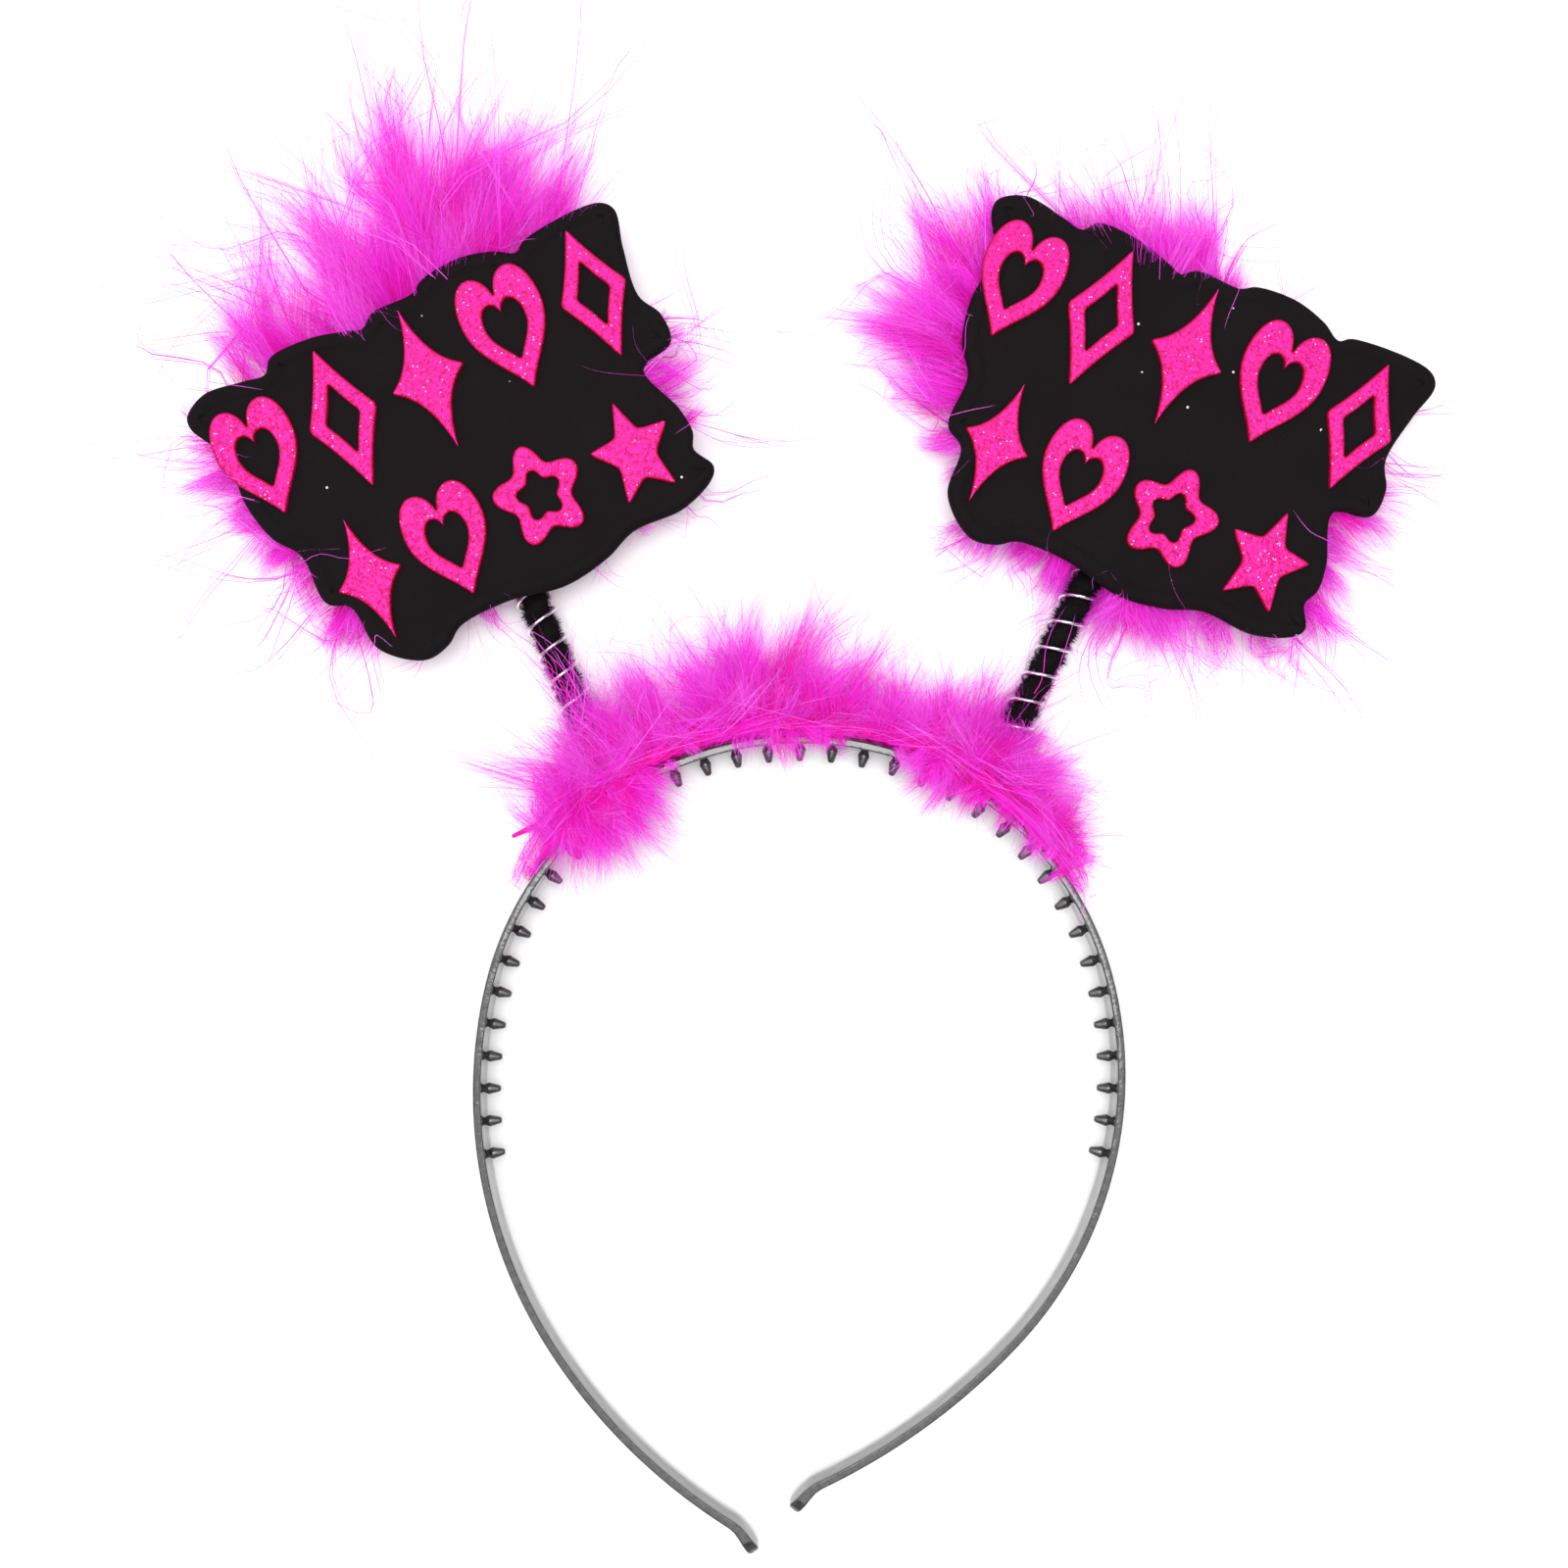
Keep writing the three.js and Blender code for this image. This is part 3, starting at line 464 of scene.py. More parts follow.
# A material of fibres, coloured from root to tip, with a faint glow where the look has one: painted light,
# an emission that lifts the shade deep in the fluff
def fibreMaterial(name, look, roughness, specular):
    material, t, shader = newMaterial(name, Roughness=roughness, Specular_IOR_Level=specular)
    color = useGroup(t, fibreColour, Root=look["root"], Middle=look["middle"], Tip=look["tip"],
                     Vary=look["vary"])["Color"]
    t.feed(shader, "Base Color", color)
    if look["paintedGlow"]:
        shader.inputs["Emission Strength"].default_value = look["paintedGlow"]
        t.feed(shader, "Emission Color", color)
    return material


plastic, foam, glitter = plasticMaterial(), foamMaterial(), glitterMaterial()
wire = grainedMaterial("springWire", wireLook, Metallic=1.0)[0]
pile = fibreMaterial("chenillePile", pileLook, 0.85, 0.2)
glue = grainedMaterial("clearGlue", glueLook, Transmission_Weight=0.9, IOR=1.48)[0]
down = fibreMaterial("pinkMarabou", downLook, 0.8, 0.3)
print("materials made:", len(bpy.data.materials))


comb = {
    "perSide": 18,
    "pitch": 6.4,
    "sides": 16,
    "profile": [(0.62, -0.6), (0.8, 0.15), (1.04, 0.75), (1.17, 1.1), (1.14, 1.25), (0.94, 2.0),
                (0.7, 2.95), (0.56, 3.24), (0.32, 3.38)],
}


# Round-edged section: a quarter circle at each corner of the wall, as (across, rise)
def stripSection(corner=5, rises=4):
    half, tall, radius = strip["wall"] / 2, strip["width"] / 2, strip["edgeRound"]
    turn = np.linspace(0, math.pi / 2, corner)
    arcs = []
    for k, (signX, signZ) in enumerate([(1, 1), (-1, 1), (-1, -1), (1, -1)]):
        angle = turn + k * math.pi / 2
        middle = np.array([signX * (half - radius), signZ * (tall - radius)])
        arcs.append(middle + radius * np.stack([np.cos(angle), np.sin(angle)], -1))
        if k % 2 == 1:
            arcs.append(np.linspace(arcs[-1][-1], arcs[-1][-1] * [1, -1], rises + 2)[1:-1])
    return np.concatenate(arcs)


# The strip: its section narrows along an S-shaped step from taperFrom to the tips, which are round,
# and its wall swells a little before them
def bandBody():
    low, high = -stripEnd("left"), stripEnd("right")
    rounded = strip["tipRound"]
    inner = np.linspace(low + rounded, high - rounded, strip["stations"])
    tip = rounded * np.sin(np.linspace(0, math.pi / 2, 10)[1:])
    distance = np.concatenate([(low + rounded - tip)[::-1], inner, high - rounded + tip])
    end = np.where(distance < 0, -low, high)
    toEnd = end - np.abs(distance)
    into = np.clip(1 - toEnd / rounded, 0, strip["mostRound"])
    taper = smoothStep((np.abs(distance) - strip["taperFrom"]) / (end - strip["taperFrom"]))
    width = np.sqrt(1 - into ** 2) * (1 - (1 - strip["tipWidth"] / strip["width"]) * taper)
    swell = 1 + strip["tipSwell"] * smoothStep(1 - toEnd / strip["tipSwellLength"])
    intoWall = np.clip(1 - toEnd / strip["tipWallRound"], 0, strip["mostRound"])
    wall = swell * np.sqrt(1 - intoWall ** 2)
    at, out, _ = stripFrames(distance)
    section = stripSection()
    across = section[None, :, :1] * wall[:, None, None]
    rise = section[None, :, 1] * width[:, None] + strip["width"] / 2
    rings = at[:, None] + out[:, None] * across
    rings[..., 2] = rise
    return ringBody(rings)


# A tooth is its profile turned about the inward direction, at half the strip's width
def teethBodies():
    number = np.arange(-comb["perSide"], comb["perSide"] + 1)
    at, out, run = stripFrames(number * comb["pitch"])
    profile = np.array(comb["profile"])[None, :, None, None]
    angle = np.linspace(0, 2 * math.pi, comb["sides"], endpoint=False)
    sideways = np.cos(angle)[None, None, :, None] * run[:, None, None]
    upward = np.sin(angle)[None, None, :, None] * up
    rings = at[:, None, None] - out[:, None, None] * (strip["wall"] / 2 + profile[..., 1])
    rings = rings + profile[..., 0] * (sideways + upward)
    rings[..., 2] += strip["width"] / 2
    return [ringBody(each) for each in rings]


def glossOf(body, share):
    return {"gloss": np.full(len(body[0]), share)}


band, teeth = bandBody(), mergeBodies(teethBodies())
addPiece("head_strip", band, plastic, ["headband"], glossOf(band, 0.5), 50)
addPiece("comb_teeth", teeth, plastic, ["headband"], glossOf(teeth, 1.0))


stalks = {
    "left": {"side": -1, "along": 38.1, "lean": -22.2, "length": 53.6},
    "right": {"side": 1, "along": 37.1, "lean": 26.3, "length": 57.0},
    "height": 5.0,
    "coil": 3.2,
    "wire": 0.4,
    "pitch": 5.6,
    "pileLow": 2.75,
    "pileBulge": 0.75,
    "pileCount": 12000,
    "pileWidth": 0.13,
    "pileRoot": 1.6,
    "coreInset": 0.75,
    "coreLumps": 0.12,
    "turnSteps": 36,
    "foot": 4.7,
    "footHeight": 6.0,
    "footFloor": 2.0,
    "gap": 0.3,
}
stalkStart = stalks["footFloor"] + stalks["gap"]


# A stalk's start on the strip's outer face, its way, and the direction to its right
def stalkFrame(name):
    row = stalks[name]
    at, out, _ = stripFrames(np.array([row["side"] * row["along"]]))
    start = at[0] + out[0] * strip["wall"] / 2 + [0, 0, stalks["height"]]
    lean = math.radians(row["lean"])
    x, y = math.sin(lean), math.cos(lean)
    return start, np.array([x, y, 0]), np.array([y, -x, 0])


# Local points (right, along, up) put onto a stalk
def ontoStalk(local, name):
    start, way, right = stalkFrame(name)
    return start + local[..., :1] * right + local[..., 1:2] * way + local[..., 2:] * up


# A round tube along a path: circles in the plane square to it, closed by round ends
def tubeBody(path, radius, sides=10):
    ahead = unit(np.gradient(path, axis=0))
    aside = np.cross(ahead, up)
    aside[np.linalg.norm(aside, axis=1) < 1e-3] = [1.0, 0.0, 0.0]
    aside = unit(aside)
    over = np.cross(aside, ahead)
    angle = np.linspace(0, 2 * math.pi, sides, endpoint=False)[:, None]
    circle = np.cos(angle) * aside[:, None] + np.sin(angle) * over[:, None]
    size = np.broadcast_to(np.asarray(radius, float), (len(path),))
    rings = path[:, None] + circle * size[:, None, None]
    slide, shrink = np.array([0.4, 0.8])[:, None, None], np.array([0.9, 0.55])[:, None, None]
    first = path[0] - ahead[0] * size[0] * slide + circle[0] * size[0] * shrink
    last = path[-1] + ahead[-1] * size[-1] * slide + circle[-1] * size[-1] * shrink
    return ringBody(np.concatenate([first[::-1], rings, last]))


# Local points at a turn about a stalk: (sin, rise, cos) of the turn, at a radius
def aroundStalk(turn, radius, rise):
    return np.stack([np.sin(turn) * radius, rise, np.cos(turn) * radius], -1)


# The wire: (sin, rise, cos) of the turn, from the foot to the stalk's end
def springBody(name):
    inset = stalks["wire"] + stalks["gap"]
    length = stalks[name]["length"] - stalkStart - 2 * inset
    rise = np.linspace(0, length, int(length / stalks["pitch"] * stalks["turnSteps"]))
    turn = rise / stalks["pitch"] * 2 * math.pi
    local = aroundStalk(turn, stalks["coil"], rise + stalkStart + inset)
    return tubeBody(ontoStalk(local, name), stalks["wire"] * 0.95)


# The pile's outer radius: it swells between the turns of the wire
def pileRadius(turn, rise):
    wireTurn = (rise - stalks["wire"] - stalks["gap"]) / stalks["pitch"] * 2 * math.pi
    return stalks["pileLow"] + stalks["pileBulge"] * (1 - np.cos(turn - wireTurn)) / 2


# The core: a tube that swells as the pile does, with short fibres standing on it
def stemBody(name, seed):
    draw = np.random.default_rng(seed)
    length = stalks[name]["length"] - stalkStart
    rise, turn = np.meshgrid(
        np.linspace(0, length, int(length / 0.5)),
        np.linspace(0, 2 * math.pi, 24, endpoint=False), indexing="ij")
    radius = pileRadius(turn, rise) - stalks["coreInset"]
    radius = radius + stalks["coreLumps"] * np.sin(rise * 7.3 + 2 * turn) * np.sin(3 * turn)
    radius *= np.sqrt(np.clip(np.minimum(rise, length - rise) / 0.8, 0.2, 1))
    core = ringBody(ontoStalk(aroundStalk(turn, radius, rise + stalkStart), name))
    count = stalks["pileCount"]
    rise = draw.uniform(0.6, length - 0.6, count)
    turn = draw.uniform(0, 2 * math.pi, count)
    slip = draw.normal(0, 0.45, (3, count))
    root = aroundStalk(turn, stalks["pileRoot"], rise)
    reach = pileRadius(turn, rise) * draw.uniform(0.86, 1.14, count)
    tip = aroundStalk(turn + slip[0] * 0.3, reach, rise + slip[1] * 0.7)
    share = np.array([0.0, 0.6, 1.0])[None, :, None]
    path = root[:, None] + (tip - root)[:, None] * share
    path[..., 1] += stalkStart
    fibres = ribbonBody(ontoStalk(path, name), np.full(count, stalks["pileWidth"]), draw)
    body = mergeBodies([core, fibres["body"]])
    along = np.concatenate([np.full(len(core[0]), 0.1), fibres["along"]])
    own = np.concatenate([np.full(len(core[0]), 0.3), fibres["own"]])
    return body, {"along": along, "own": own}


# Thin tapering ribbons: pairs of points either side of each path, rolled at random, to one tip
def ribbonBody(path, width, draw, taper=0.75, along=None, own=None):
    count, steps, _ = path.shape
    ahead = np.gradient(path, axis=1)
    roll = draw.normal(size=(count, 1, 3))
    aside = unit(np.cross(ahead, roll))
    share = np.linspace(0, 1, steps)
    half = width[:, None] / 2 * (1 - share[None, :-1]) ** taper
    pairs = np.stack([path[:, :-1] - aside[:, :-1] * half[..., None],
                      path[:, :-1] + aside[:, :-1] * half[..., None]], 2)
    points = np.concatenate([pairs.reshape(count, -1, 3), path[:, -1:]], 1)
    each = 2 * steps - 1
    quads = 2 * np.arange(steps - 2)[:, None]
    triangles = np.concatenate([
        np.concatenate([quads + [0, 1, 3], quads + [0, 3, 2]]),
        [[each - 3, each - 2, each - 1]]])
    faces = (np.arange(count)[:, None, None] * each + triangles[None]).reshape(-1, 3)
    along = np.tile(share, (count, 1)) if along is None else along
    own = draw.uniform(0, 1, count) if own is None else own
    return {
        "body": (points.reshape(-1, 3), [faces]),
        "along": np.repeat(along, 2, axis=1)[:, :-1].ravel(),
        "own": np.repeat(own, each),
    }


# The foot: a collar turned about the stalk, whose lower end follows the strip's outer face
def footBody(name):
    inner = stalks["coil"] + stalks["wire"] + stalks["gap"]
    outer, top, floor = stalks["foot"], stalks["footHeight"], stalks["footFloor"]
    profile = np.array([(outer * 0.6, 0.0), (outer - 0.3, 0.0), (outer, 0.3), (outer, top - 0.5),
                        (outer - 0.15, top - 0.12), (outer - 0.5, top), (inner + 0.25, top),
                        (inner, top - 0.3), (inner, floor + 0.2), (inner - 0.3, floor)])
    angle = np.linspace(0, 2 * math.pi, 40, endpoint=False)
    across, rise = (profile[:, k:k + 1] * np.ones(len(angle)) for k in (0, 1))
    placed = ontoStalk(aroundStalk(angle, across, rise), name)
    way = stalkFrame(name)[1]
    face = strip["crownRadius"] + strip["wall"] / 2 + stalks["gap"]
    fromMiddle = placed[..., :2] - np.array([0, -strip["crownRadius"]])
    ahead = fromMiddle @ way[:2]
    gapSquared = face ** 2 - (np.linalg.norm(fromMiddle, axis=2) ** 2 - ahead ** 2)
    lift = np.sqrt(np.maximum(gapSquared, 0)) - ahead
    followsStrip = np.arange(len(profile))[:, None] < 3
    shift = np.where(followsStrip, lift, np.maximum(lift, 0))
    return ringBody(placed + shift[..., None] * way)


for number, name in enumerate(["left", "right"]):
    stem, fields = stemBody(name, 11 + number)
    foot = name + "_spring_foot"
    addPiece(name + "_pile_stem", stem, pile, [name + "_stem"], fields)
    addPiece(name + "_wire_spring", springBody(name), wire, [name + "_spring"])
    addPiece(name + "_collar", footBody(name), plastic, [foot], sharpAngle=50)


boards = {
    "width": 91.0,
    "height": 67.0,
    "motifSeat": 2.72,
    "back": 10.4,
    "left": {"turn": 24.0, "across": 0.015, "up": -0.329},
    "right": {"turn": -25.4, "across": 0.029, "up": -0.348},
    "samples": 420,
    "profile": [(0.9, 0.0), (0.35, 0.15), (0.05, 0.55), (0.0, 1.1), (0.0, 1.9), (0.12, 2.45), (0.5, 2.9),
                (1.1, 3.18), (1.8, 3.22), (2.5, 3.1), (3.0, 2.86), (3.4, 2.72), (4.0, 2.7)],
}
boardOutline = np.array([
    (-0.489, 0.342), (-0.438, 0.382), (-0.348, 0.37), (-0.304, 0.363), (-0.281, 0.4), (-0.191, 0.406),
    (-0.108, 0.381), (-0.08, 0.369), (-0.049, 0.399), (0.046, 0.404), (0.075, 0.428), (0.162, 0.442),
    (0.237, 0.419), (0.279, 0.39), (0.302, 0.412), (0.477, 0.425), (0.503, 0.39), (0.488, 0.285),
    (0.476, 0.137), (0.503, 0.064), (0.499, -0.018), (0.423, -0.057), (0.458, -0.203), (0.464, -0.278),
    (0.451, -0.324), (0.475, -0.39), (0.46, -0.422), (0.381, -0.466), (0.267, -0.467), (0.192, -0.507),
    (0.091, -0.53), (-0.034, -0.503), (-0.146, -0.513), (-0.184, -0.548), (-0.241, -0.561),
    (-0.321, -0.478), (-0.338, -0.34), (-0.382, -0.3), (-0.389, -0.15), (-0.43, -0.07),
    (-0.452, 0.05), (-0.449, 0.191), (-0.493, 0.309),
])


# A closed centripetal Catmull-Rom curve through the corners, in even steps
def closedCurve(corners, samples, between=24):
    p0, p1, p2, p3 = (np.roll(corners, k, axis=0) for k in (1, 0, -1, -2))
    knots = [np.zeros(len(corners))]
    for a, b in ((p0, p1), (p1, p2), (p2, p3)):
        knots.append(knots[-1] + np.linalg.norm(b - a, axis=1) ** 0.5)
    t0, t1, t2, t3 = (knot[:, None, None] for knot in knots)
    t = t1 + (t2 - t1) * np.linspace(0, 1, between, endpoint=False)[None, :, None]
    p0, p1, p2, p3 = (p[:, None] for p in (p0, p1, p2, p3))
    a1 = (t1 - t) / (t1 - t0) * p0 + (t - t0) / (t1 - t0) * p1
    a2 = (t2 - t) / (t2 - t1) * p1 + (t - t1) / (t2 - t1) * p2
    a3 = (t3 - t) / (t3 - t2) * p2 + (t - t2) / (t3 - t2) * p3
    b1 = (t2 - t) / (t2 - t0) * a1 + (t - t0) / (t2 - t0) * a2
    b2 = (t3 - t) / (t3 - t1) * a2 + (t - t1) / (t3 - t1) * a3
    curve = ((t2 - t) / (t2 - t1) * b1 + (t - t1) / (t2 - t1) * b2).reshape(-1, 2)
    return evenSteps(curve, samples)


def evenSteps(curve, samples):
    loop = np.concatenate([curve, curve[:1]])
    run = np.concatenate([[0], np.cumsum(np.linalg.norm(np.diff(loop, axis=0), axis=1))])
    wanted = np.linspace(0, run[-1], samples, endpoint=False)
    made = np.stack([np.interp(wanted, run, loop[:, k]) for k in (0, 1)], -1)
    area = np.sum(made[:, 0] * np.roll(made[:, 1], -1) - made[:, 1] * np.roll(made[:, 0], -1))
    return made if area > 0 else made[::-1]


# Loops moved inward by each depth, but never past most of the largest circle that touches the
# outline there from inside: radius = |q - p|^2 / (2 inward . (q - p)), least over all points q
def insetLoops(loop, depths, keep=0.8):
    ahead = unit(np.roll(loop, -1, axis=0) - np.roll(loop, 1, axis=0))
    inward = np.stack([-ahead[:, 1], ahead[:, 0]], -1)
    apart = loop[None] - loop[:, None]
    facing = np.einsum("ijk,ik->ij", apart, inward)
    square = np.einsum("ijk,ijk->ij", apart, apart)
    radius = np.where(facing > 1e-6, square / np.maximum(2 * facing, 1e-6), 1e6).min(1)
    room = np.minimum(radius * keep, 1e3)
    for _ in range(3):
        room = (np.roll(room, 1) + 2 * room + np.roll(room, -1)) / 4
    return [loop + inward * np.minimum(depth, room)[:, None] for depth in depths]


# A board's middle, so that its stalk ends at its place on the board
def boardMiddle(name):
    start, way, _ = stalkFrame(name)
    row = boards[name]
    offset = np.array([row["across"] * boards["width"], row["up"] * boards["height"]])
    place = start[:2] + way[:2] * stalks[name]["length"] - turned(offset[None], row["turn"])[0]
    return np.append(place, 0.0)


def turned(flat, degrees):
    cosine, sine = math.cos(math.radians(degrees)), math.sin(math.radians(degrees))
    return flat @ np.array([[cosine, sine], [-sine, cosine]])


# Flat loops at their heights, as rings in space on a board
def boardRings(name, loops, heights):
    middle = boardMiddle(name)
    rings = []
    for loop, height in zip(loops, heights):
        flat = turned(loop, boards[name]["turn"])
        rings.append(np.column_stack([flat + middle[:2], np.full(len(flat), height)]))
    return np.stack(rings)


# Triangles that fill flat loops, the first the outside and the rest holes
def fillFaces(loops):
    polylines = [[Vector((x, y, 0)) for x, y in loop] for loop in loops]
    return np.array(tessellate_polygon(polylines))


# A slab: rings of a profile (inset, height) round each loop, filled at its first and last ring
def slabBody(name, loops, profile, base, keep=0.8):
    profile = np.array(profile)
    parts, faceSets, firsts, lasts, count = [], [], [], [], 0
    for loop in loops:
        rings = boardRings(name, insetLoops(loop, profile[:, 0], keep), base + profile[:, 1])
        rows, columns, _ = rings.shape
        faceSets.append(gridFaces(rows, columns) + count)
        firsts.append(np.arange(columns) + count)
        lasts.append(firsts[-1] + (rows - 1) * columns)
        parts.append(rings.reshape(-1, 3))
        count += rows * columns
    points = np.concatenate(parts)
    for ids, flip in ((firsts, True), (lasts, False)):
        index = np.concatenate(ids)
        triangles = fillFaces([points[each, :2] for each in ids])
        a, b, c = (points[index[triangles[:, k]]] for k in range(3))
        wrong = (np.cross(b - a, c - a)[:, 2] > 0) == flip
        triangles[wrong] = triangles[wrong][:, ::-1]
        faceSets.append(index[triangles])
    return points, faceSets


outlineLoop = closedCurve(boardOutline * [boards["width"], boards["height"]], boards["samples"])
for name in ("left", "right"):
    addPiece(name + "_foam_board", slabBody(name, [outlineLoop], boards["profile"], boards["back"]),
             foam, [name + "_board"], sharpAngle=60)


motifRows = [
    ("heart_1", "heart", -0.38, 0.14, 0.175, 0.34), ("gem_1", "gem", -0.19, 0.155, 0.155, 0.43),
    ("sparkle_1", "sparkle", 0.005, 0.16, 0.17, 0.44), ("heart_2", "heart", 0.2, 0.19, 0.18, 0.36),
    ("gem_2", "gem", 0.392, 0.19, 0.15, 0.4), ("sparkle_2", "sparkle", -0.275, -0.29, 0.15, 0.38),
    ("heart_3", "heart", -0.09, -0.29, 0.175, 0.33), ("flower_1", "flower", 0.12, -0.27, 0.2, 0.3),
    ("star_1", "star", 0.335, -0.27, 0.19, 0.32),
]
motifs = {
    "base": boards["back"] + boards["motifSeat"] - 0.05,
    "profile": [(0.0, 0.0), (0.0, 0.75), (0.06, 0.95), (0.2, 1.08), (0.42, 1.12), (0.75, 1.12)],
    # edge: painted shade, 1 on the motif's sides and lower rounding and 0 on its top
    "edge": [1.0, 1.0, 1.0, 0.85, 0.35, 0.0],
    "hole": 0.5,
    "holed": ("heart", "gem", "flower"),
    "samples": 160,
}


# A Bezier arc of any degree, by repeated mixing of its control points
def bezierArc(control, samples=40):
    share = np.linspace(0, 1, samples, endpoint=False)[:, None, None]
    points = np.array(control, float)[None] * np.ones((samples, 1, 1))
    while points.shape[1] > 1:
        points = points[:, :-1] * (1 - share) + points[:, 1:] * share
    return points[:, 0]


# Three cubic arcs down the heart's right half, mirrored
def heartLoop():
    right = [[(0, -0.5), (0.12, -0.3), (0.5, -0.12), (0.5, 0.16)],
             [(0.5, 0.16), (0.5, 0.4), (0.36, 0.5), (0.25, 0.5)],
             [(0.25, 0.5), (0.12, 0.5), (0.02, 0.42), (0, 0.28)]]
    half = np.concatenate([bezierArc(each) for each in right] + [[(0, 0.28)]])
    return np.concatenate([half, half[-2:0:-1] * [-1, 1]])


# Four corners joined by arcs that are pulled towards the middle
def cornerLoop(pull):
    corners = np.array([(0, -0.5), (0.5, 0), (0, 0.5), (-0.5, 0)])
    return np.concatenate([
        bezierArc([a, (a + b) * pull, b]) for a, b in zip(corners, np.roll(corners, -1, axis=0))])


# Points at shares of the size, all round from the top
def roundLoop(angle, share):
    return np.stack([np.cos(angle) * share, np.sin(angle) * share], -1)


# Ten corners, by turns far out and near
def starLoop():
    angle = math.pi / 2 + np.arange(10) * math.pi / 5
    return roundLoop(angle, np.where(np.arange(10) % 2 == 0, 0.5, 0.23))


# Five petals: a radius that swells with the cosine of five times the angle
def flowerLoop():
    angle = math.pi / 2 + np.linspace(0, 2 * math.pi, 200, endpoint=False)
    return roundLoop(angle, 0.41 + 0.09 * np.cos(5 * (angle - math.pi / 2)))


motifLoops = {
    "heart": heartLoop(), "gem": cornerLoop(0.44), "sparkle": cornerLoop(0.2),
    "star": starLoop(), "flower": flowerLoop(),
}


# Softens a loop's corners by averaging neighbours a few times
def softened(loop, times):
    for _ in range(times):
        loop = (np.roll(loop, 1, axis=0) + 2 * loop + np.roll(loop, -1, axis=0)) / 4
    return loop


# One motif on a board: its outline, with a smaller one as its hole where its form has one
def motifPiece(name, row):
    label, form, across, rise, wide, high = row
    scale = np.array([boards["width"], boards["height"]])
    loop = motifLoops[form] * (np.array([wide, high]) * scale)
    middle = np.array([across, rise]) * scale
    loops = [softened(evenSteps(loop, motifs["samples"]), 6) + middle]
    if form in motifs["holed"]:
        inner = evenSteps(loop * motifs["hole"], motifs["samples"] // 2)
        loops.append((softened(inner, 4) + middle)[::-1])
    body = slabBody(name, loops, motifs["profile"], motifs["base"], keep=0.6)
    edge = {"edge": np.concatenate([np.repeat(motifs["edge"], len(each)) for each in loops])}
    label = name + "_" + label
    piece = label.replace("_", "_glitter_", 1)
    addPiece(piece, body, glitter, [label], edge, sharpAngle=60)


for name in ("left", "right"):
    for row in motifRows:
        motifPiece(name, row)


# Sizes of the down in mm. Layers of locks have a girth and a stray, layers of wisps a longest
# barbule, a paleness (partly the barbs' own light colour, partly painted highlight) and the width
# of their line. Column is the reach that a layer follows, and share the shares of it that are drawn.
# Pairs are the least and the most that is drawn.
marabou = {
    "lockWidth": 0.085,
    "fineWidth": 0.055,
    "fade": 0.6,
    "stemClear": {"left": 21.0, "right": 14.0},
    "floor": 0.35,
    "knee": 18.0,
    "ceiling": 29.0,
    "height": 13.0,
    "beyond": 14.0,
    "above": 5.0,
    "threadWidth": 0.13,
    "trimTilt": (-16, 52),
    "trimRise": (1.5, 12.5),
    "trimSwirl": 7,
    "runStarts": (-52, 54),
    "runEnds": (-62, 63),
    "runLength": (9, 30),
    "linesRaised": 5,
    "plumeLift": (-10, 30),
    "plumeRise": (2.0, 9.0),
    "plumeSwirl": 9,
}
layers = {
    "trimLocks": {"count": 270, "barbs": 102, "girth": (1.1, 3.0), "stray": 0.09, "column": 1,
                  "share": (0.55, 1.3), "spread": 24, "sway": 0.26, "ripple": 0.07},
    "trimWisps": {"count": 400, "each": 20, "longest": 1.2, "pale": 0.75, "line": 0.14, "column": 2,
                  "share": (0.75, 1.1), "spread": 20, "sway": 0.28, "ripple": 0.07},
    "trimLines": {"count": 90, "each": 12, "longest": 0.7, "pale": 0.9, "line": 0.12},
    "baseLocks": {"count": 150, "barbs": 100, "girth": (1.0, 2.6), "stray": 0.12, "column": 1,
                  "share": (0.3, 1.3), "spread": 34, "sway": 0.28, "ripple": 0.07},
    "inwardLocks": {"count": 140, "barbs": 80, "girth": (0.8, 2.0), "stray": 0.09,
                    "share": (0.4, 1.25), "rise": (10.8, 14.0), "sway": 0.18, "ripple": 0.04},
    "inwardWisps": {"count": 90, "each": 16, "longest": 1.1, "pale": 0.7, "line": 0.14,
                    "share": (1.05, 1.25), "rise": (10.8, 14.0), "sway": 0.18, "ripple": 0.04},
    "runLocks": {"count": 60, "barbs": 56, "girth": (0.6, 1.5), "stray": 0.03, "steps": 6},
    "plumeLocks": {"count": 230, "barbs": 106, "girth": (1.0, 2.9), "stray": 0.07, "column": 1,
                   "share": (0.4, 1.3), "spread": 12, "sway": 0.17, "ripple": 0.06},
    "plumeWisps": {"count": 115, "each": 16, "longest": 0.9, "pale": 0.85, "line": 0.17, "column": 2,
                   "share": (0.6, 1.08), "spread": 13, "sway": 0.45, "ripple": 0.14,
                   "bunch": 4, "apart": 2.2},
    "edgeStrays": {"count": 16, "each": 8, "longest": 0.8, "pale": 0.8, "line": 0.12,
                   "length": (4, 12), "rise": (13.8, 15.5), "sway": 0.25, "ripple": 0.06},
    "stemWisps": {"count": {"left": 70, "right": 12}, "each": 14, "longest": 1.0, "pale": 0.5,
                  "line": 0.14, "from": (5, 24), "length": (6, 17), "rise": (8.5, 13),
                  "sway": 0.25, "ripple": 0.06},
    "backLocks": {"count": 110, "barbs": 30, "girth": (0.8, 2.2), "stray": 0.14, "width": 0.1,
                  "within": 22, "length": (8, 16), "rise": (0.8, 4.0), "sway": 0.25, "ripple": 0.05},
}
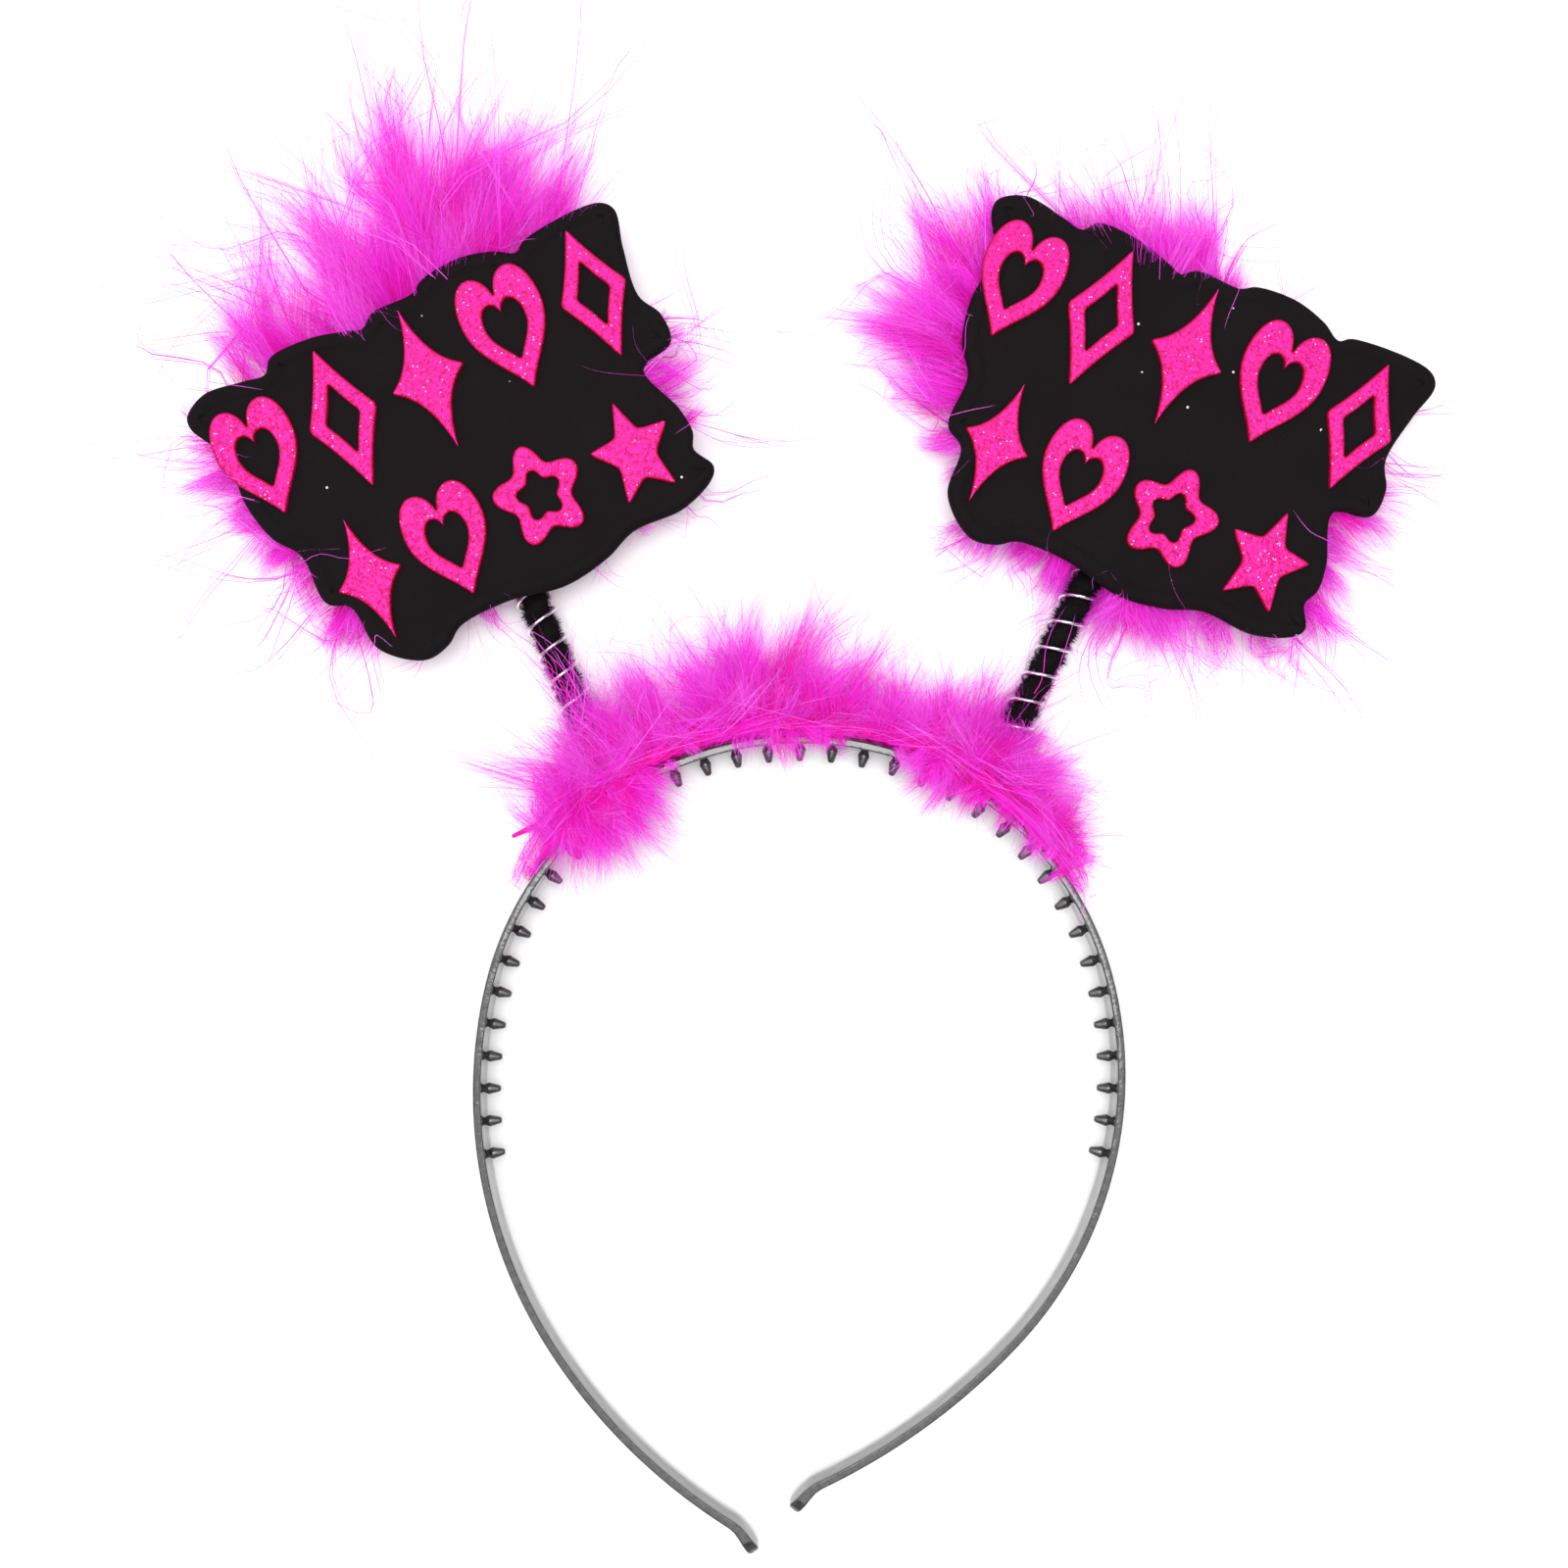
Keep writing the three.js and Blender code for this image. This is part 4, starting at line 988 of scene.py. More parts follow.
# Rows: distance along the strip; reach outward of the locks and of the wisps; reach inward
trimRows = np.array([
    (-68, 0.5, 1.5, 0.2), (-62, 1.5, 2.5, 0.6), (-58, 5, 5.5, 1.5), (-55, 9, 9.5, 2),
    (-50, 12, 12.5, 6), (-45, 16, 17.5, 12), (-40, 19.5, 24, 15), (-34, 21, 27, 12),
    (-30, 19, 27, 5.5), (-25, 18, 25, 1.5), (-20, 19, 26, 1), (-15, 21, 27, 1), (-10, 23, 29, 3),
    (-5, 21.5, 27, 7.5), (0, 18, 24, 3.5), (5, 15.5, 22, 3), (10, 13, 19, 2), (15, 12, 18, 1),
    (20, 13, 19, 4), (25, 17, 23, 9), (30, 21, 26, 9), (35, 21, 26, 7), (40, 16.5, 21, 4.5),
    (45, 13, 19, 4.5), (50, 10, 15, 4.5), (55, 7.5, 11, 3.5), (60, 4, 8, 2.4), (66, 0.5, 3, 0.2),
])
boxLow = np.array(cadLow)[:2] / mm - crown[:2]
boxHigh = np.array(cadHigh)[:2] / mm - crown[:2]
# Rows: a thread's middle across and up, its radius, first and last bearing, and height
threads = [
    (57.6, 29.2, 2.4, 20, 330, 14.2), (-57.0, 26.0, 2.0, 200, 420, 14.2),
    (27.0, 85.5, 3.0, 40, 300, 10.0), (-27.5, 15.5, 9.5, 165, 60, 14.0),
    (-16.0, 13.0, 11.0, 140, 50, 13.0),
]
# Rows: distance along the strip; lean of the fluff along it in degrees, so that each lobe fans out
fanRows = np.array([
    (-66, 40), (-52, 42), (-44, 28), (-37, 6), (-31, -14), (-22, -2), (-10, 8), (-2, 16), (3, 20),
    (6, -20), (16, -14), (31, 0), (42, 16), (52, 26), (66, 40),
])
# Rows: bearing from +X about the board's middle; reach of the locks and of the wisps past its edge;
# fullness
plumeRows = {
    "left": np.array([
        (-60, 0, 1, 0.01), (-4, 2, 6, 0.1), (5, 10, 20, 0.6),
        (14, 10, 21, 0.6), (23, 6, 17, 0.4), (32, 1, 9, 0.12), (40, 0.5, 5, 0.03),
        (48, 0.5, 4, 0.03), (57, 3, 16, 0.14), (63, 9, 26, 0.35), (68, 22, 46, 0.85), (74, 29, 52, 0.95),
        (82, 31, 52, 0.95), (92, 34, 54, 1), (101, 37, 56, 1), (110, 30, 52, 1), (119, 25, 42, 0.98),
        (128, 21, 36, 0.98), (135, 15, 34, 0.9), (141, 7, 34, 0.5), (148, 4, 38, 0.3), (154, 13, 40, 0.5),
        (160, 19, 38, 0.75), (166, 9, 30, 0.45), (174, 5, 20, 0.3), (182, 7, 22, 0.45), (190, 11, 24, 0.65),
        (200, 7, 19, 0.5), (210, 10, 22, 0.65), (220, 11, 24, 0.65), (230, 8, 20, 0.5), (240, 11, 20, 0.8),
        (248, 4, 12, 0.25), (262, 0.5, 3, 0.02), (272, 1, 4, 0.03), (280, 4, 8, 0.27), (288, 2, 6, 0.12),
        (300, 0, 1, 0.01)]),
    "right": np.array([
        (-10, 3, 14, 0.2), (0, 2, 8, 0.1), (10, 1, 3, 0.06), (30, 1, 4, 0.06), (42, 0.5, 3, 0.03),
        (52, 4, 12, 0.2), (60, 10, 17, 0.6), (70, 14, 22, 0.75), (80, 18, 30, 0.9), (90, 18, 28, 0.8),
        (100, 12, 19, 0.6),
        (110, 5, 11, 0.3), (122, 3, 11, 0.25), (132, 6, 18, 0.35), (138, 12, 23, 0.6), (144, 19, 29, 0.8),
        (152, 25, 32, 0.95), (160, 25, 33, 1), (168, 20, 29, 1), (176, 13, 24, 0.9), (184, 9, 22, 0.75),
        (192, 6, 17, 0.5), (200, 3, 12, 0.2), (212, 3, 9, 0.2), (222, 3, 10, 0.2), (230, 7, 13, 0.7),
        (236, 8, 14, 0.6), (250, 9, 14, 0.5), (260, 12, 18, 0.8), (270, 11, 17, 0.65), (280, 9, 15, 0.45),
        (292, 8, 16, 0.4), (302, 8, 16, 0.4), (312, 12, 20, 0.5), (321, 14, 21, 0.6), (331, 12, 19, 0.5),
        (341, 7, 15, 0.3), (350, 3, 14, 0.2)]),
}
# Rows: bearing about the board's middle; how far the plume's fluff swings off it, in degrees
leanRows = {
    "left": np.array([
        (0, 0), (100, 0), (128, -8), (146, -34), (168, -38), (180, -12), (195, 0), (360, 0)]),
    "right": np.array([
        (0, 0), (50, 10), (75, 18), (100, 12), (115, -12), (130, -34), (150, -20), (165, 0), (360, 0)]),
}


# The second column of a table of rows at places between its rows
def fromRows(rows, place, column=1):
    return np.interp(place, rows[:, 0], rows[:, column])


# Flat directions at bearings, with a rise given to each
def pointing(bearing, rise=0.0):
    return np.stack([np.cos(bearing), np.sin(bearing), np.broadcast_to(rise, bearing.shape)], -1)


# Normal draws cut off at twice their spread
def limited(draw, spread, shape):
    return np.clip(draw.normal(0, 1, shape), -2, 2) * spread


# Spines: base + aim L t + bend L t^2, with a ripple that starts at nothing
def spinePaths(draw, base, aim, length, sway, ripple, nodes=10):
    count = len(base)
    share = np.linspace(0, 1, nodes)[None, :, None]
    bend = limited(draw, sway, (count, 1, 3))
    phase = draw.uniform(0, 2 * math.pi, (count, 1, 1))
    rate = draw.uniform(4, 9, (count, 1, 1))
    wave = limited(draw, ripple, (count, 1, 3)) * (np.sin(rate * share + phase) - np.sin(phase))
    return base[:, None] + length[:, None, None] * (aim[:, None] * share + bend * share ** 2 + wave)


# Points at shares along each spine, by mixing its two nearest nodes
def alongSpine(spine, share):
    place = share * (spine.shape[1] - 1)
    low = np.clip(place.astype(int), 0, spine.shape[1] - 2)
    part = (place - low)[..., None]
    pick = np.arange(len(spine))[:, None, None]
    return spine[pick, low] * (1 - part) + spine[pick, low + 1] * part


# Locks: each spine is followed by barbs that leave it somewhere on its way, stand off it by a girth
# that opens after the root and closes to the tip, and stray from it the further they go
def lockParts(draw, spine, row, least=0.4):
    count, barbs, steps = len(spine), row["barbs"], row.get("steps", 4)
    girth, stray = draw.uniform(*row["girth"], count), row["stray"]
    size = np.linalg.norm(spine[:, -1] - spine[:, 0], axis=1)[:, None, None, None]
    begin = draw.uniform(0, 0.5, (count, barbs, 1)) ** 1.3
    end = begin + (1 - begin) * (least + (1 - least) * draw.uniform(0, 1, (count, barbs, 1)) ** 1.5)
    step = np.linspace(0, 1, steps)
    share = begin + (end - begin) * step
    square = unit(draw.normal(size=(count, barbs, 1, 3)))
    opening = (1.9 * np.sqrt(share + 0.04) * (1 - 0.85 * share))[..., None]
    astray = square * np.minimum(draw.exponential(stray, (count, barbs, 1, 1)), 2.5 * stray)
    phase = draw.uniform(0, 6, (count, barbs, 1, 1))
    curl = limited(draw, 0.022, (count, barbs, 1, 3)) * np.sin(phase + 7 * step[:, None])
    path = alongSpine(spine, share) + square * girth[:, None, None, None] * opening
    path += size * ((astray + curl) * step[:, None])
    # Each lock's own tone, spread wide: partly the down's own uneven colour, partly painted light and shade
    # on whole locks
    own = np.clip(draw.uniform(0.15, 0.85, (count, 1)) + draw.normal(0, 0.14, (count, barbs)), 0, 1)
    wide = row.get("width", marabou["lockWidth"]) * draw.uniform(0.65, 1.25, (count, barbs))
    return path.reshape(-1, steps, 3), wide.ravel(), share.reshape(-1, steps), own.ravel()


# Keeps fluff above the floor, and presses what stands over the knee below the ceiling
def settled(path):
    rise = path[..., 2]
    room = marabou["ceiling"] - marabou["knee"]
    high = marabou["knee"] + room * np.tanh((rise - marabou["knee"]) / room)
    path[..., 2] = np.maximum(np.where(rise > marabou["knee"], high, rise), marabou["floor"])
    inBox = np.clip(path[..., :2], boxLow, boxHigh)
    path[..., :2] = inBox + marabou["beyond"] * np.tanh((path[..., :2] - inBox) / marabou["beyond"])
    return path


# Presses what lies over a stalk, further up than a clear length, below it
def underStems(path, clear):
    for name in ("left", "right"):
        start, way, right = stalkFrame(name)
        apart = path - start
        over = (np.abs(apart @ right) < stalks["coil"] + 1.2) & (apart @ way > clear[name])
        over &= apart @ way < stalks[name]["length"]
        path[..., 2] = np.where(over, np.minimum(path[..., 2], 1.0), path[..., 2])
    return path


# Ribbons after their paths are pressed: under is "stems" for beyond the stems' clear length, a
# board's name for below that board and the whole stems, or "nothing"
def settledRibbons(draw, path, wide, along, own, under, taper=0.75):
    if under == "stems":
        path = underStems(path, marabou["stemClear"])
    elif under in plumeRows:
        path = underStems(underBoard(path, under), {"left": 0, "right": 0})
    return ribbonBody(settled(path), wide, draw, taper, along, own)


def lockFluff(draw, spine, row, under="stems"):
    path, wide, along, own = lockParts(draw, spine, row)
    return [settledRibbons(draw, path, wide, along, own, under)]


# Barbs: a line along each spine, with barbules that leave it to all sides, slant forward and get
# shorter towards its tip as (1 - share)^fade
def barbFluff(draw, spine, row, under="stems"):
    count, nodes, _ = spine.shape
    each = row["each"]
    # Paleness: partly the barbs' own lighter colour, partly painted highlight on the wisps
    own = np.clip(row["pale"] + limited(draw, 0.25, count), 0, 1)
    along = np.tile(np.linspace(0, 1, nodes), (count, 1))
    wide = draw.uniform(0.7, 1.3, count) * row["line"]
    line = settledRibbons(draw, spine.copy(), wide, along, own, under, 0.5)
    share = draw.uniform(0.01, 0.97, (count, each, 1))
    root = alongSpine(spine, share)
    ahead = alongSpine(spine, np.minimum(share + 0.04, 1)) - alongSpine(spine, np.maximum(share - 0.02, 0))
    ahead = unit(ahead)
    square = unit(np.cross(ahead, draw.normal(size=ahead.shape)))
    slant = np.radians(draw.uniform(16, 58, (count, each, 1, 1)))
    size = row["longest"] * draw.uniform(0.6, 1.2, (count, 1, 1, 1))
    size = size * draw.uniform(0.45, 1.0, (count, each, 1, 1))
    size = size * (1 - share[..., None]) ** marabou["fade"]
    step = np.array([0, 0.55, 1.0])[:, None]
    aside = square * np.sin(slant) * (1.35 * step - 0.35 * step ** 2)
    path = root + size * (ahead * np.cos(slant) * step + aside)
    path += size * limited(draw, 0.12, path.shape) * step
    tone = np.clip(own[:, None] + limited(draw, 0.1, (count, each)), 0, 1)
    along = (share * 0.85 + np.array([0, 0.1, 0.2])).reshape(-1, 3)
    wide = draw.uniform(0.7, 1.3, count * each) * marabou["fineWidth"]
    return [line, settledRibbons(draw, path.reshape(-1, 3, 3), wide, along, tone.ravel(), under)]


# Distances drawn so that as many stand at each place as the weights of the rows say
def drawPlaces(draw, count, places, weights):
    fine = np.linspace(places[0], places[-1], 600)
    total = np.cumsum(np.interp(fine, places, weights) + 1e-5)
    return np.interp(draw.uniform(0, 1, count) * total[-1], total, fine)


# A slow swing of the fluff from side to side, so that it parts and meets
def swirl(place, size):
    return size * (np.sin(place / 4.7 + 0.8) + 0.7 * np.sin(place / 2.1 + 2.0))


# Repeats each spine, with offsets that grow along it, so that the wisps fly in bunches
def bunched(draw, spine, each, spread):
    many = np.repeat(spine, each, axis=0)
    share = np.linspace(0, 1, spine.shape[1])[None, :, None]
    offset = limited(draw, spread, (len(many), 1, 3))
    phase = draw.uniform(0, 6, (len(many), 1, 1))
    return many + offset * (share ** 1.2 + 0.35 * share * np.sin(5 * share + phase))


# The trim's outward locks: from the strip's outer face, raised by a tilt and swung along the strip
def trimSpines(draw, row):
    count = row["count"]
    place = drawPlaces(draw, count, trimRows[:, 0], np.maximum(trimRows[:, 1] - 1.5, 0))
    reach = fromRows(trimRows, place, row["column"]) * draw.uniform(*row["share"], count)
    at, out, run = stripFrames(place)
    tilt = np.radians(draw.uniform(*marabou["trimTilt"], count))
    swing = limited(draw, row["spread"], count) + swirl(place, marabou["trimSwirl"])
    swing = np.radians(swing + fromRows(fanRows, place))
    seat = 1.2 + draw.uniform(0, 1, count) * np.minimum(reach * 0.4, 8)
    base = at + out * seat[:, None]
    base[:, 2] += draw.uniform(*marabou["trimRise"], count)
    outward, along = np.cos(tilt) * np.cos(swing), np.cos(tilt) * np.sin(swing)
    aim = outward[:, None] * out + along[:, None] * run + np.sin(tilt)[:, None] * up
    length = (reach - seat) / np.maximum(outward, 0.5)
    length = np.minimum(length, marabou["height"] / np.maximum(np.abs(np.sin(tilt)), 0.2))
    return spinePaths(draw, base, aim, np.maximum(length, 2.5), row["sway"], row["ripple"])


# Locks that lean in over the strip's upper edge
def inwardSpines(draw, row):
    count = row["count"]
    place = drawPlaces(draw, count, trimRows[:, 0], np.maximum(trimRows[:, 3] - 1.4, 0) ** 1.2)
    reach = fromRows(trimRows, place, 3) * draw.uniform(*row["share"], count)
    at, out, run = stripFrames(place)
    swing = np.radians(limited(draw, 34, count))
    rise = draw.uniform(-0.25, 0.5, count)
    seat = draw.uniform(0.9, 4.0, count)
    base = at + out * seat[:, None]
    base[:, 2] += draw.uniform(*row["rise"], count)
    aim = unit(-np.cos(swing)[:, None] * out + np.sin(swing)[:, None] * run + rise[:, None] * up)
    return spinePaths(draw, base, aim, reach + seat, row["sway"], row["ripple"])


# Locks that run along the strip, wound round it, drifting outward
def runningSpines(draw, row, nodes=12):
    count = row["count"]
    start = np.clip(drawPlaces(draw, count, trimRows[:, 0], trimRows[:, 1]), *marabou["runStarts"])
    length = draw.uniform(*marabou["runLength"], count)
    length = length * np.where(draw.uniform(0, 1, count) < 0.62, 1, -1)
    share = np.linspace(0, 1, nodes)[None]
    place = np.clip(start[:, None] + length[:, None] * share, *marabou["runEnds"])
    at, out, _ = stripFrames(place)
    last = fromRows(trimRows, place[:, -1]) * draw.uniform(0.2, 0.85, count)
    first = draw.uniform(1.2, 5.5, count)
    offset = first[:, None] + (last - first)[:, None] * share ** 1.6
    path = at + out * offset[..., None]
    path[..., 2] = draw.uniform(7, 15, (count, 1)) + draw.normal(0, 2.5, (count, 1)) * np.sin(share * 4)
    return path


# The string's ends along the strip, the run over which they fade, the reach at which it is full,
# its half width and half height where it is thin and what fullness adds, and its height
string = {
    "ends": (-61, 62),
    "stations": 240,
    "sides": 20,
    "fade": 14,
    "fullReach": 21,
    "across": (0.5, 1.7),
    "tall": (2.4, 3.0),
    "seat": 1.15,
    "height": 6.5,
    "twist": 0.12,
    "rough": 0.05,
}


# The twisted string that the barbs grow from: a rope along the strip, thinner at its ends
def stringBody(seed):
    draw = np.random.default_rng(seed)
    low, high = string["ends"]
    place = np.linspace(low, high, string["stations"])
    at, out, _ = stripFrames(place)
    full = fromRows(trimRows, place) / string["fullReach"]
    angle = np.linspace(0, 2 * math.pi, string["sides"], endpoint=False)
    fade = np.sqrt(smoothStep(np.minimum(place - low, high - place) / string["fade"])) + 0.04
    across, tall = ((string[key][0] + string[key][1] * full) * fade for key in ("across", "tall"))
    lumps = 1 + string["twist"] * np.sin(place[:, None] * 2.2 + 3 * angle)
    lumps = lumps + draw.normal(0, string["rough"], (len(place), len(angle)))
    outward = string["seat"] + across[:, None] * (1 + np.cos(angle) * lumps)
    rings = at[:, None] + out[:, None] * outward[..., None]
    rings[..., 2] = np.maximum(string["height"] + tall[:, None] * np.sin(angle) * lumps, 0.2)
    return ringBody(rings)


def solidPart(body):
    return {"body": body, "along": np.zeros(len(body[0])), "own": np.full(len(body[0]), 0.4)}


# A cut quill's end, which sticks out of the trim's left end: a line that arches by a sine
def quillPart():
    first, last = np.array([-49.5, -16.0, 9.0]), np.array([-54.6, -18.4, 11.5])
    share = np.linspace(0, 1, 8)[:, None]
    path = first * (1 - share) + last * share
    path[:, 2] += 1.2 * np.sin(math.pi * share[:, 0])
    return solidPart(tubeBody(path, np.linspace(0.7, 0.4, 8), 10))


# Loose threads: arcs whose radius swells and whose height wanders a little
def threadParts(draw):
    share = np.linspace(0, 1, 26)
    lines = []
    for x, y, radius, first, last, height in threads:
        bearing = np.radians(first + (last - first) * share)
        swell = radius * (1 + 0.08 * np.sin(bearing * 5 + x))
        rise = height + 0.8 * np.sin(share * 7)
        lines.append(np.stack([x + swell * np.cos(bearing), y + swell * np.sin(bearing), rise], -1))
    count = len(lines)
    own, along = np.full(count, 0.9), np.full((count, len(share)), 0.9)
    wide = np.full(count, marabou["threadWidth"])
    return [ribbonBody(np.array(lines), wide, draw, 0.9, along, own)]


def trimOuterParts(seed):
    draw = np.random.default_rng(seed)
    parts = lockFluff(draw, trimSpines(draw, layers["trimLocks"]), layers["trimLocks"])
    parts += barbFluff(draw, trimSpines(draw, layers["trimWisps"]), layers["trimWisps"])
    lines = runningSpines(draw, layers["trimLines"])
    lines[..., 2] += marabou["linesRaised"]
    parts += barbFluff(draw, lines, layers["trimLines"], "nothing")
    return parts + [quillPart()] + threadParts(draw)


def trimInnerParts(seed):
    draw = np.random.default_rng(seed)
    parts = lockFluff(draw, trimSpines(draw, layers["baseLocks"]), layers["baseLocks"])
    parts += lockFluff(draw, inwardSpines(draw, layers["inwardLocks"]), layers["inwardLocks"])
    parts += barbFluff(draw, inwardSpines(draw, layers["inwardWisps"]), layers["inwardWisps"])
    parts += lockFluff(draw, runningSpines(draw, layers["runLocks"]), layers["runLocks"])
    return parts + [solidPart(stringBody(seed + 1))]


def addDown(name, parts, replaced):
    body = mergeBodies([part["body"] for part in parts])
    fields = {key: np.concatenate([part[key] for part in parts]) for key in ("along", "own")}
    addPiece(name, body, down, replaced, fields)


# How far a board reaches from its middle at a bearing, read off its outline
def boardEdge(bearing, turn):
    around = np.degrees(np.arctan2(outlineLoop[:, 1], outlineLoop[:, 0])) + turn
    radius = np.linalg.norm(outlineLoop, axis=1)
    order = np.argsort(around % 360)
    return np.interp(bearing % 360, (around % 360)[order], radius[order], period=360)


# Presses what lies within a board's outline below the board's back
def underBoard(path, name):
    flat = turned(path[..., :2] - boardMiddle(name)[:2], -boards[name]["turn"])
    loop = insetLoops(outlineLoop[::4], [-0.3])[0]
    x, y = flat[..., 0].ravel(), flat[..., 1].ravel()
    inside = np.zeros(len(x), bool)
    for (x1, y1), (x2, y2) in zip(loop, np.roll(loop, -1, axis=0)):
        crosses = (y1 > y) != (y2 > y)
        inside ^= crosses & (x < (x2 - x1) * (y - y1) / (y2 - y1 if y2 != y1 else 1e-9) + x1)
    inside = inside.reshape(path.shape[:-1])
    path[..., 2] = np.where(inside, np.minimum(path[..., 2], boards["back"] - 0.4), path[..., 2])
    return path


# A plume's locks: from under the board's edge, outward along the bearing, swung and lifted a little
def plumeSpines(draw, name, row):
    rows, middle, count = plumeRows[name], boardMiddle(name), row["count"]
    weight = rows[:, 3] * (6 + 0.7 * rows[:, 1]) if row["column"] == 1 else 0.15 + rows[:, 3]
    weight = np.where(rows[:, 2] < 2, 0, weight)
    bearing = drawPlaces(draw, count, rows[:, 0], weight)
    edge = boardEdge(bearing, boards[name]["turn"])
    beyond = fromRows(rows, bearing, row["column"]) * draw.uniform(*row["share"], count)
    steep = np.maximum(np.sin(np.radians(bearing)), 0.25)
    room = (boxHigh[1] + marabou["above"] - middle[1]) / steep - edge
    beyond = np.minimum(beyond, np.maximum(room, 3))
    start = edge - draw.uniform(0.5, 1, count) * np.minimum(3 + beyond * 0.5, 12)
    start = start + draw.uniform(0, 0.45, count) * beyond
    lean = fromRows(leanRows[name], bearing % 360)
    swing = limited(draw, row["spread"], count) + swirl(bearing, marabou["plumeSwirl"])
    swing = np.radians(swing + lean)
    toward = np.radians(bearing)
    lift = np.radians(draw.uniform(*marabou["plumeLift"], count))
    flat, rise = np.cos(lift), np.sin(lift)
    aim = np.stack([np.cos(toward + swing) * flat, np.sin(toward + swing) * flat, rise], -1)
    base = middle + pointing(toward) * start[:, None]
    base[:, 2] = draw.uniform(*marabou["plumeRise"], count)
    length = (edge + beyond - start) / np.maximum(np.cos(swing) * flat, 0.6)
    return spinePaths(draw, base, aim, np.maximum(length, 2.0), row["sway"], row["ripple"])


# Spines of a layer from its bases, each of a drawn length
def grownSpines(draw, base, aim, row):
    length = draw.uniform(*row["length"], len(base))
    return spinePaths(draw, base, aim, length, row["sway"], row["ripple"])


# Barbs that have slipped over a board's edge and lie across its face
def crossingSpines(draw, name, row):
    count = row["count"]
    bearing = drawPlaces(draw, count, plumeRows[name][:, 0], plumeRows[name][:, 3])
    edge = boardEdge(bearing, boards[name]["turn"])
    toward = np.radians(bearing)
    swing = toward + math.pi + np.radians(limited(draw, 40, count))
    base = boardMiddle(name) + (edge + 2)[:, None] * pointing(toward)
    base[:, 2] = draw.uniform(*row["rise"], count)
    return grownSpines(draw, base, pointing(swing, 0.12), row)


# Wisps that climb the lower part of a stem, over it and beside it
def stemSpines(draw, name, row):
    start, way, right = stalkFrame(name)
    count = row["count"][name]
    base = start + way * draw.uniform(*row["from"], (count, 1)) + right * limited(draw, 1.6, (count, 1))
    base[:, 2] = draw.uniform(*row["rise"], count)
    aim = unit(way + right * limited(draw, 0.25, (count, 1)) + 0.1 * up)
    return grownSpines(draw, base, aim, row)


# Locks that cover the plume's back, lying outward from its middle
def backSpines(draw, name, row):
    count = row["count"]
    bearing = draw.uniform(0, 2 * math.pi, count)
    start = draw.uniform(0, 1, count) ** 0.5 * row["within"]
    swing = bearing + draw.normal(0, 0.6, count)
    base = boardMiddle(name) + pointing(bearing) * start[:, None]
    base[:, 2] = draw.uniform(*row["rise"], count)
    aim = unit(pointing(swing, draw.normal(-0.05, 0.1, count)))
    return grownSpines(draw, base, aim, row)


# Rings of the pad as shares of the board's outline, with their heights
pad = {"rings": [(0.4, 1.2), (0.6, 2.2), (0.7, 4.8), (0.68, 8.0), (0.5, 9.4)], "rough": 0.35}


# The downy pad that the locks grow from, behind the middle of the board
def padBody(name, seed):
    draw = np.random.default_rng(seed)
    loop = softened(outlineLoop[::5], 8)
    shares, heights = zip(*pad["rings"])
    rings = boardRings(name, [loop * share for share in shares], heights)
    rings[1:-1] += draw.normal(0, pad["rough"], rings[1:-1].shape)
    return ringBody(rings)


def plumeParts(name, seed):
    draw = np.random.default_rng(seed)
    parts = lockFluff(draw, plumeSpines(draw, name, layers["plumeLocks"]), layers["plumeLocks"], name)
    row = layers["plumeWisps"]
    spine = bunched(draw, plumeSpines(draw, name, row), row["bunch"], row["apart"])
    parts += barbFluff(draw, spine, row, name)
    for key, spines in (("edgeStrays", crossingSpines), ("stemWisps", stemSpines)):
        parts += barbFluff(draw, spines(draw, name, layers[key]), layers[key], "nothing")
    parts += lockFluff(draw, backSpines(draw, name, layers["backLocks"]), layers["backLocks"], name)
    return parts + [solidPart(padBody(name, seed + 5))]


addDown("boa_down_outer", trimOuterParts(31), ["boa_trim"])
addDown("boa_down_inner", trimInnerParts(32), ["boa_trim"])
addDown("left_down", plumeParts("left", 41), ["left_plume"])
addDown("right_down", plumeParts("right", 42), ["right_plume"])


gluePad = {"radius": 7.5, "below": 1.5, "gap": 0.3, "overlap": 6}


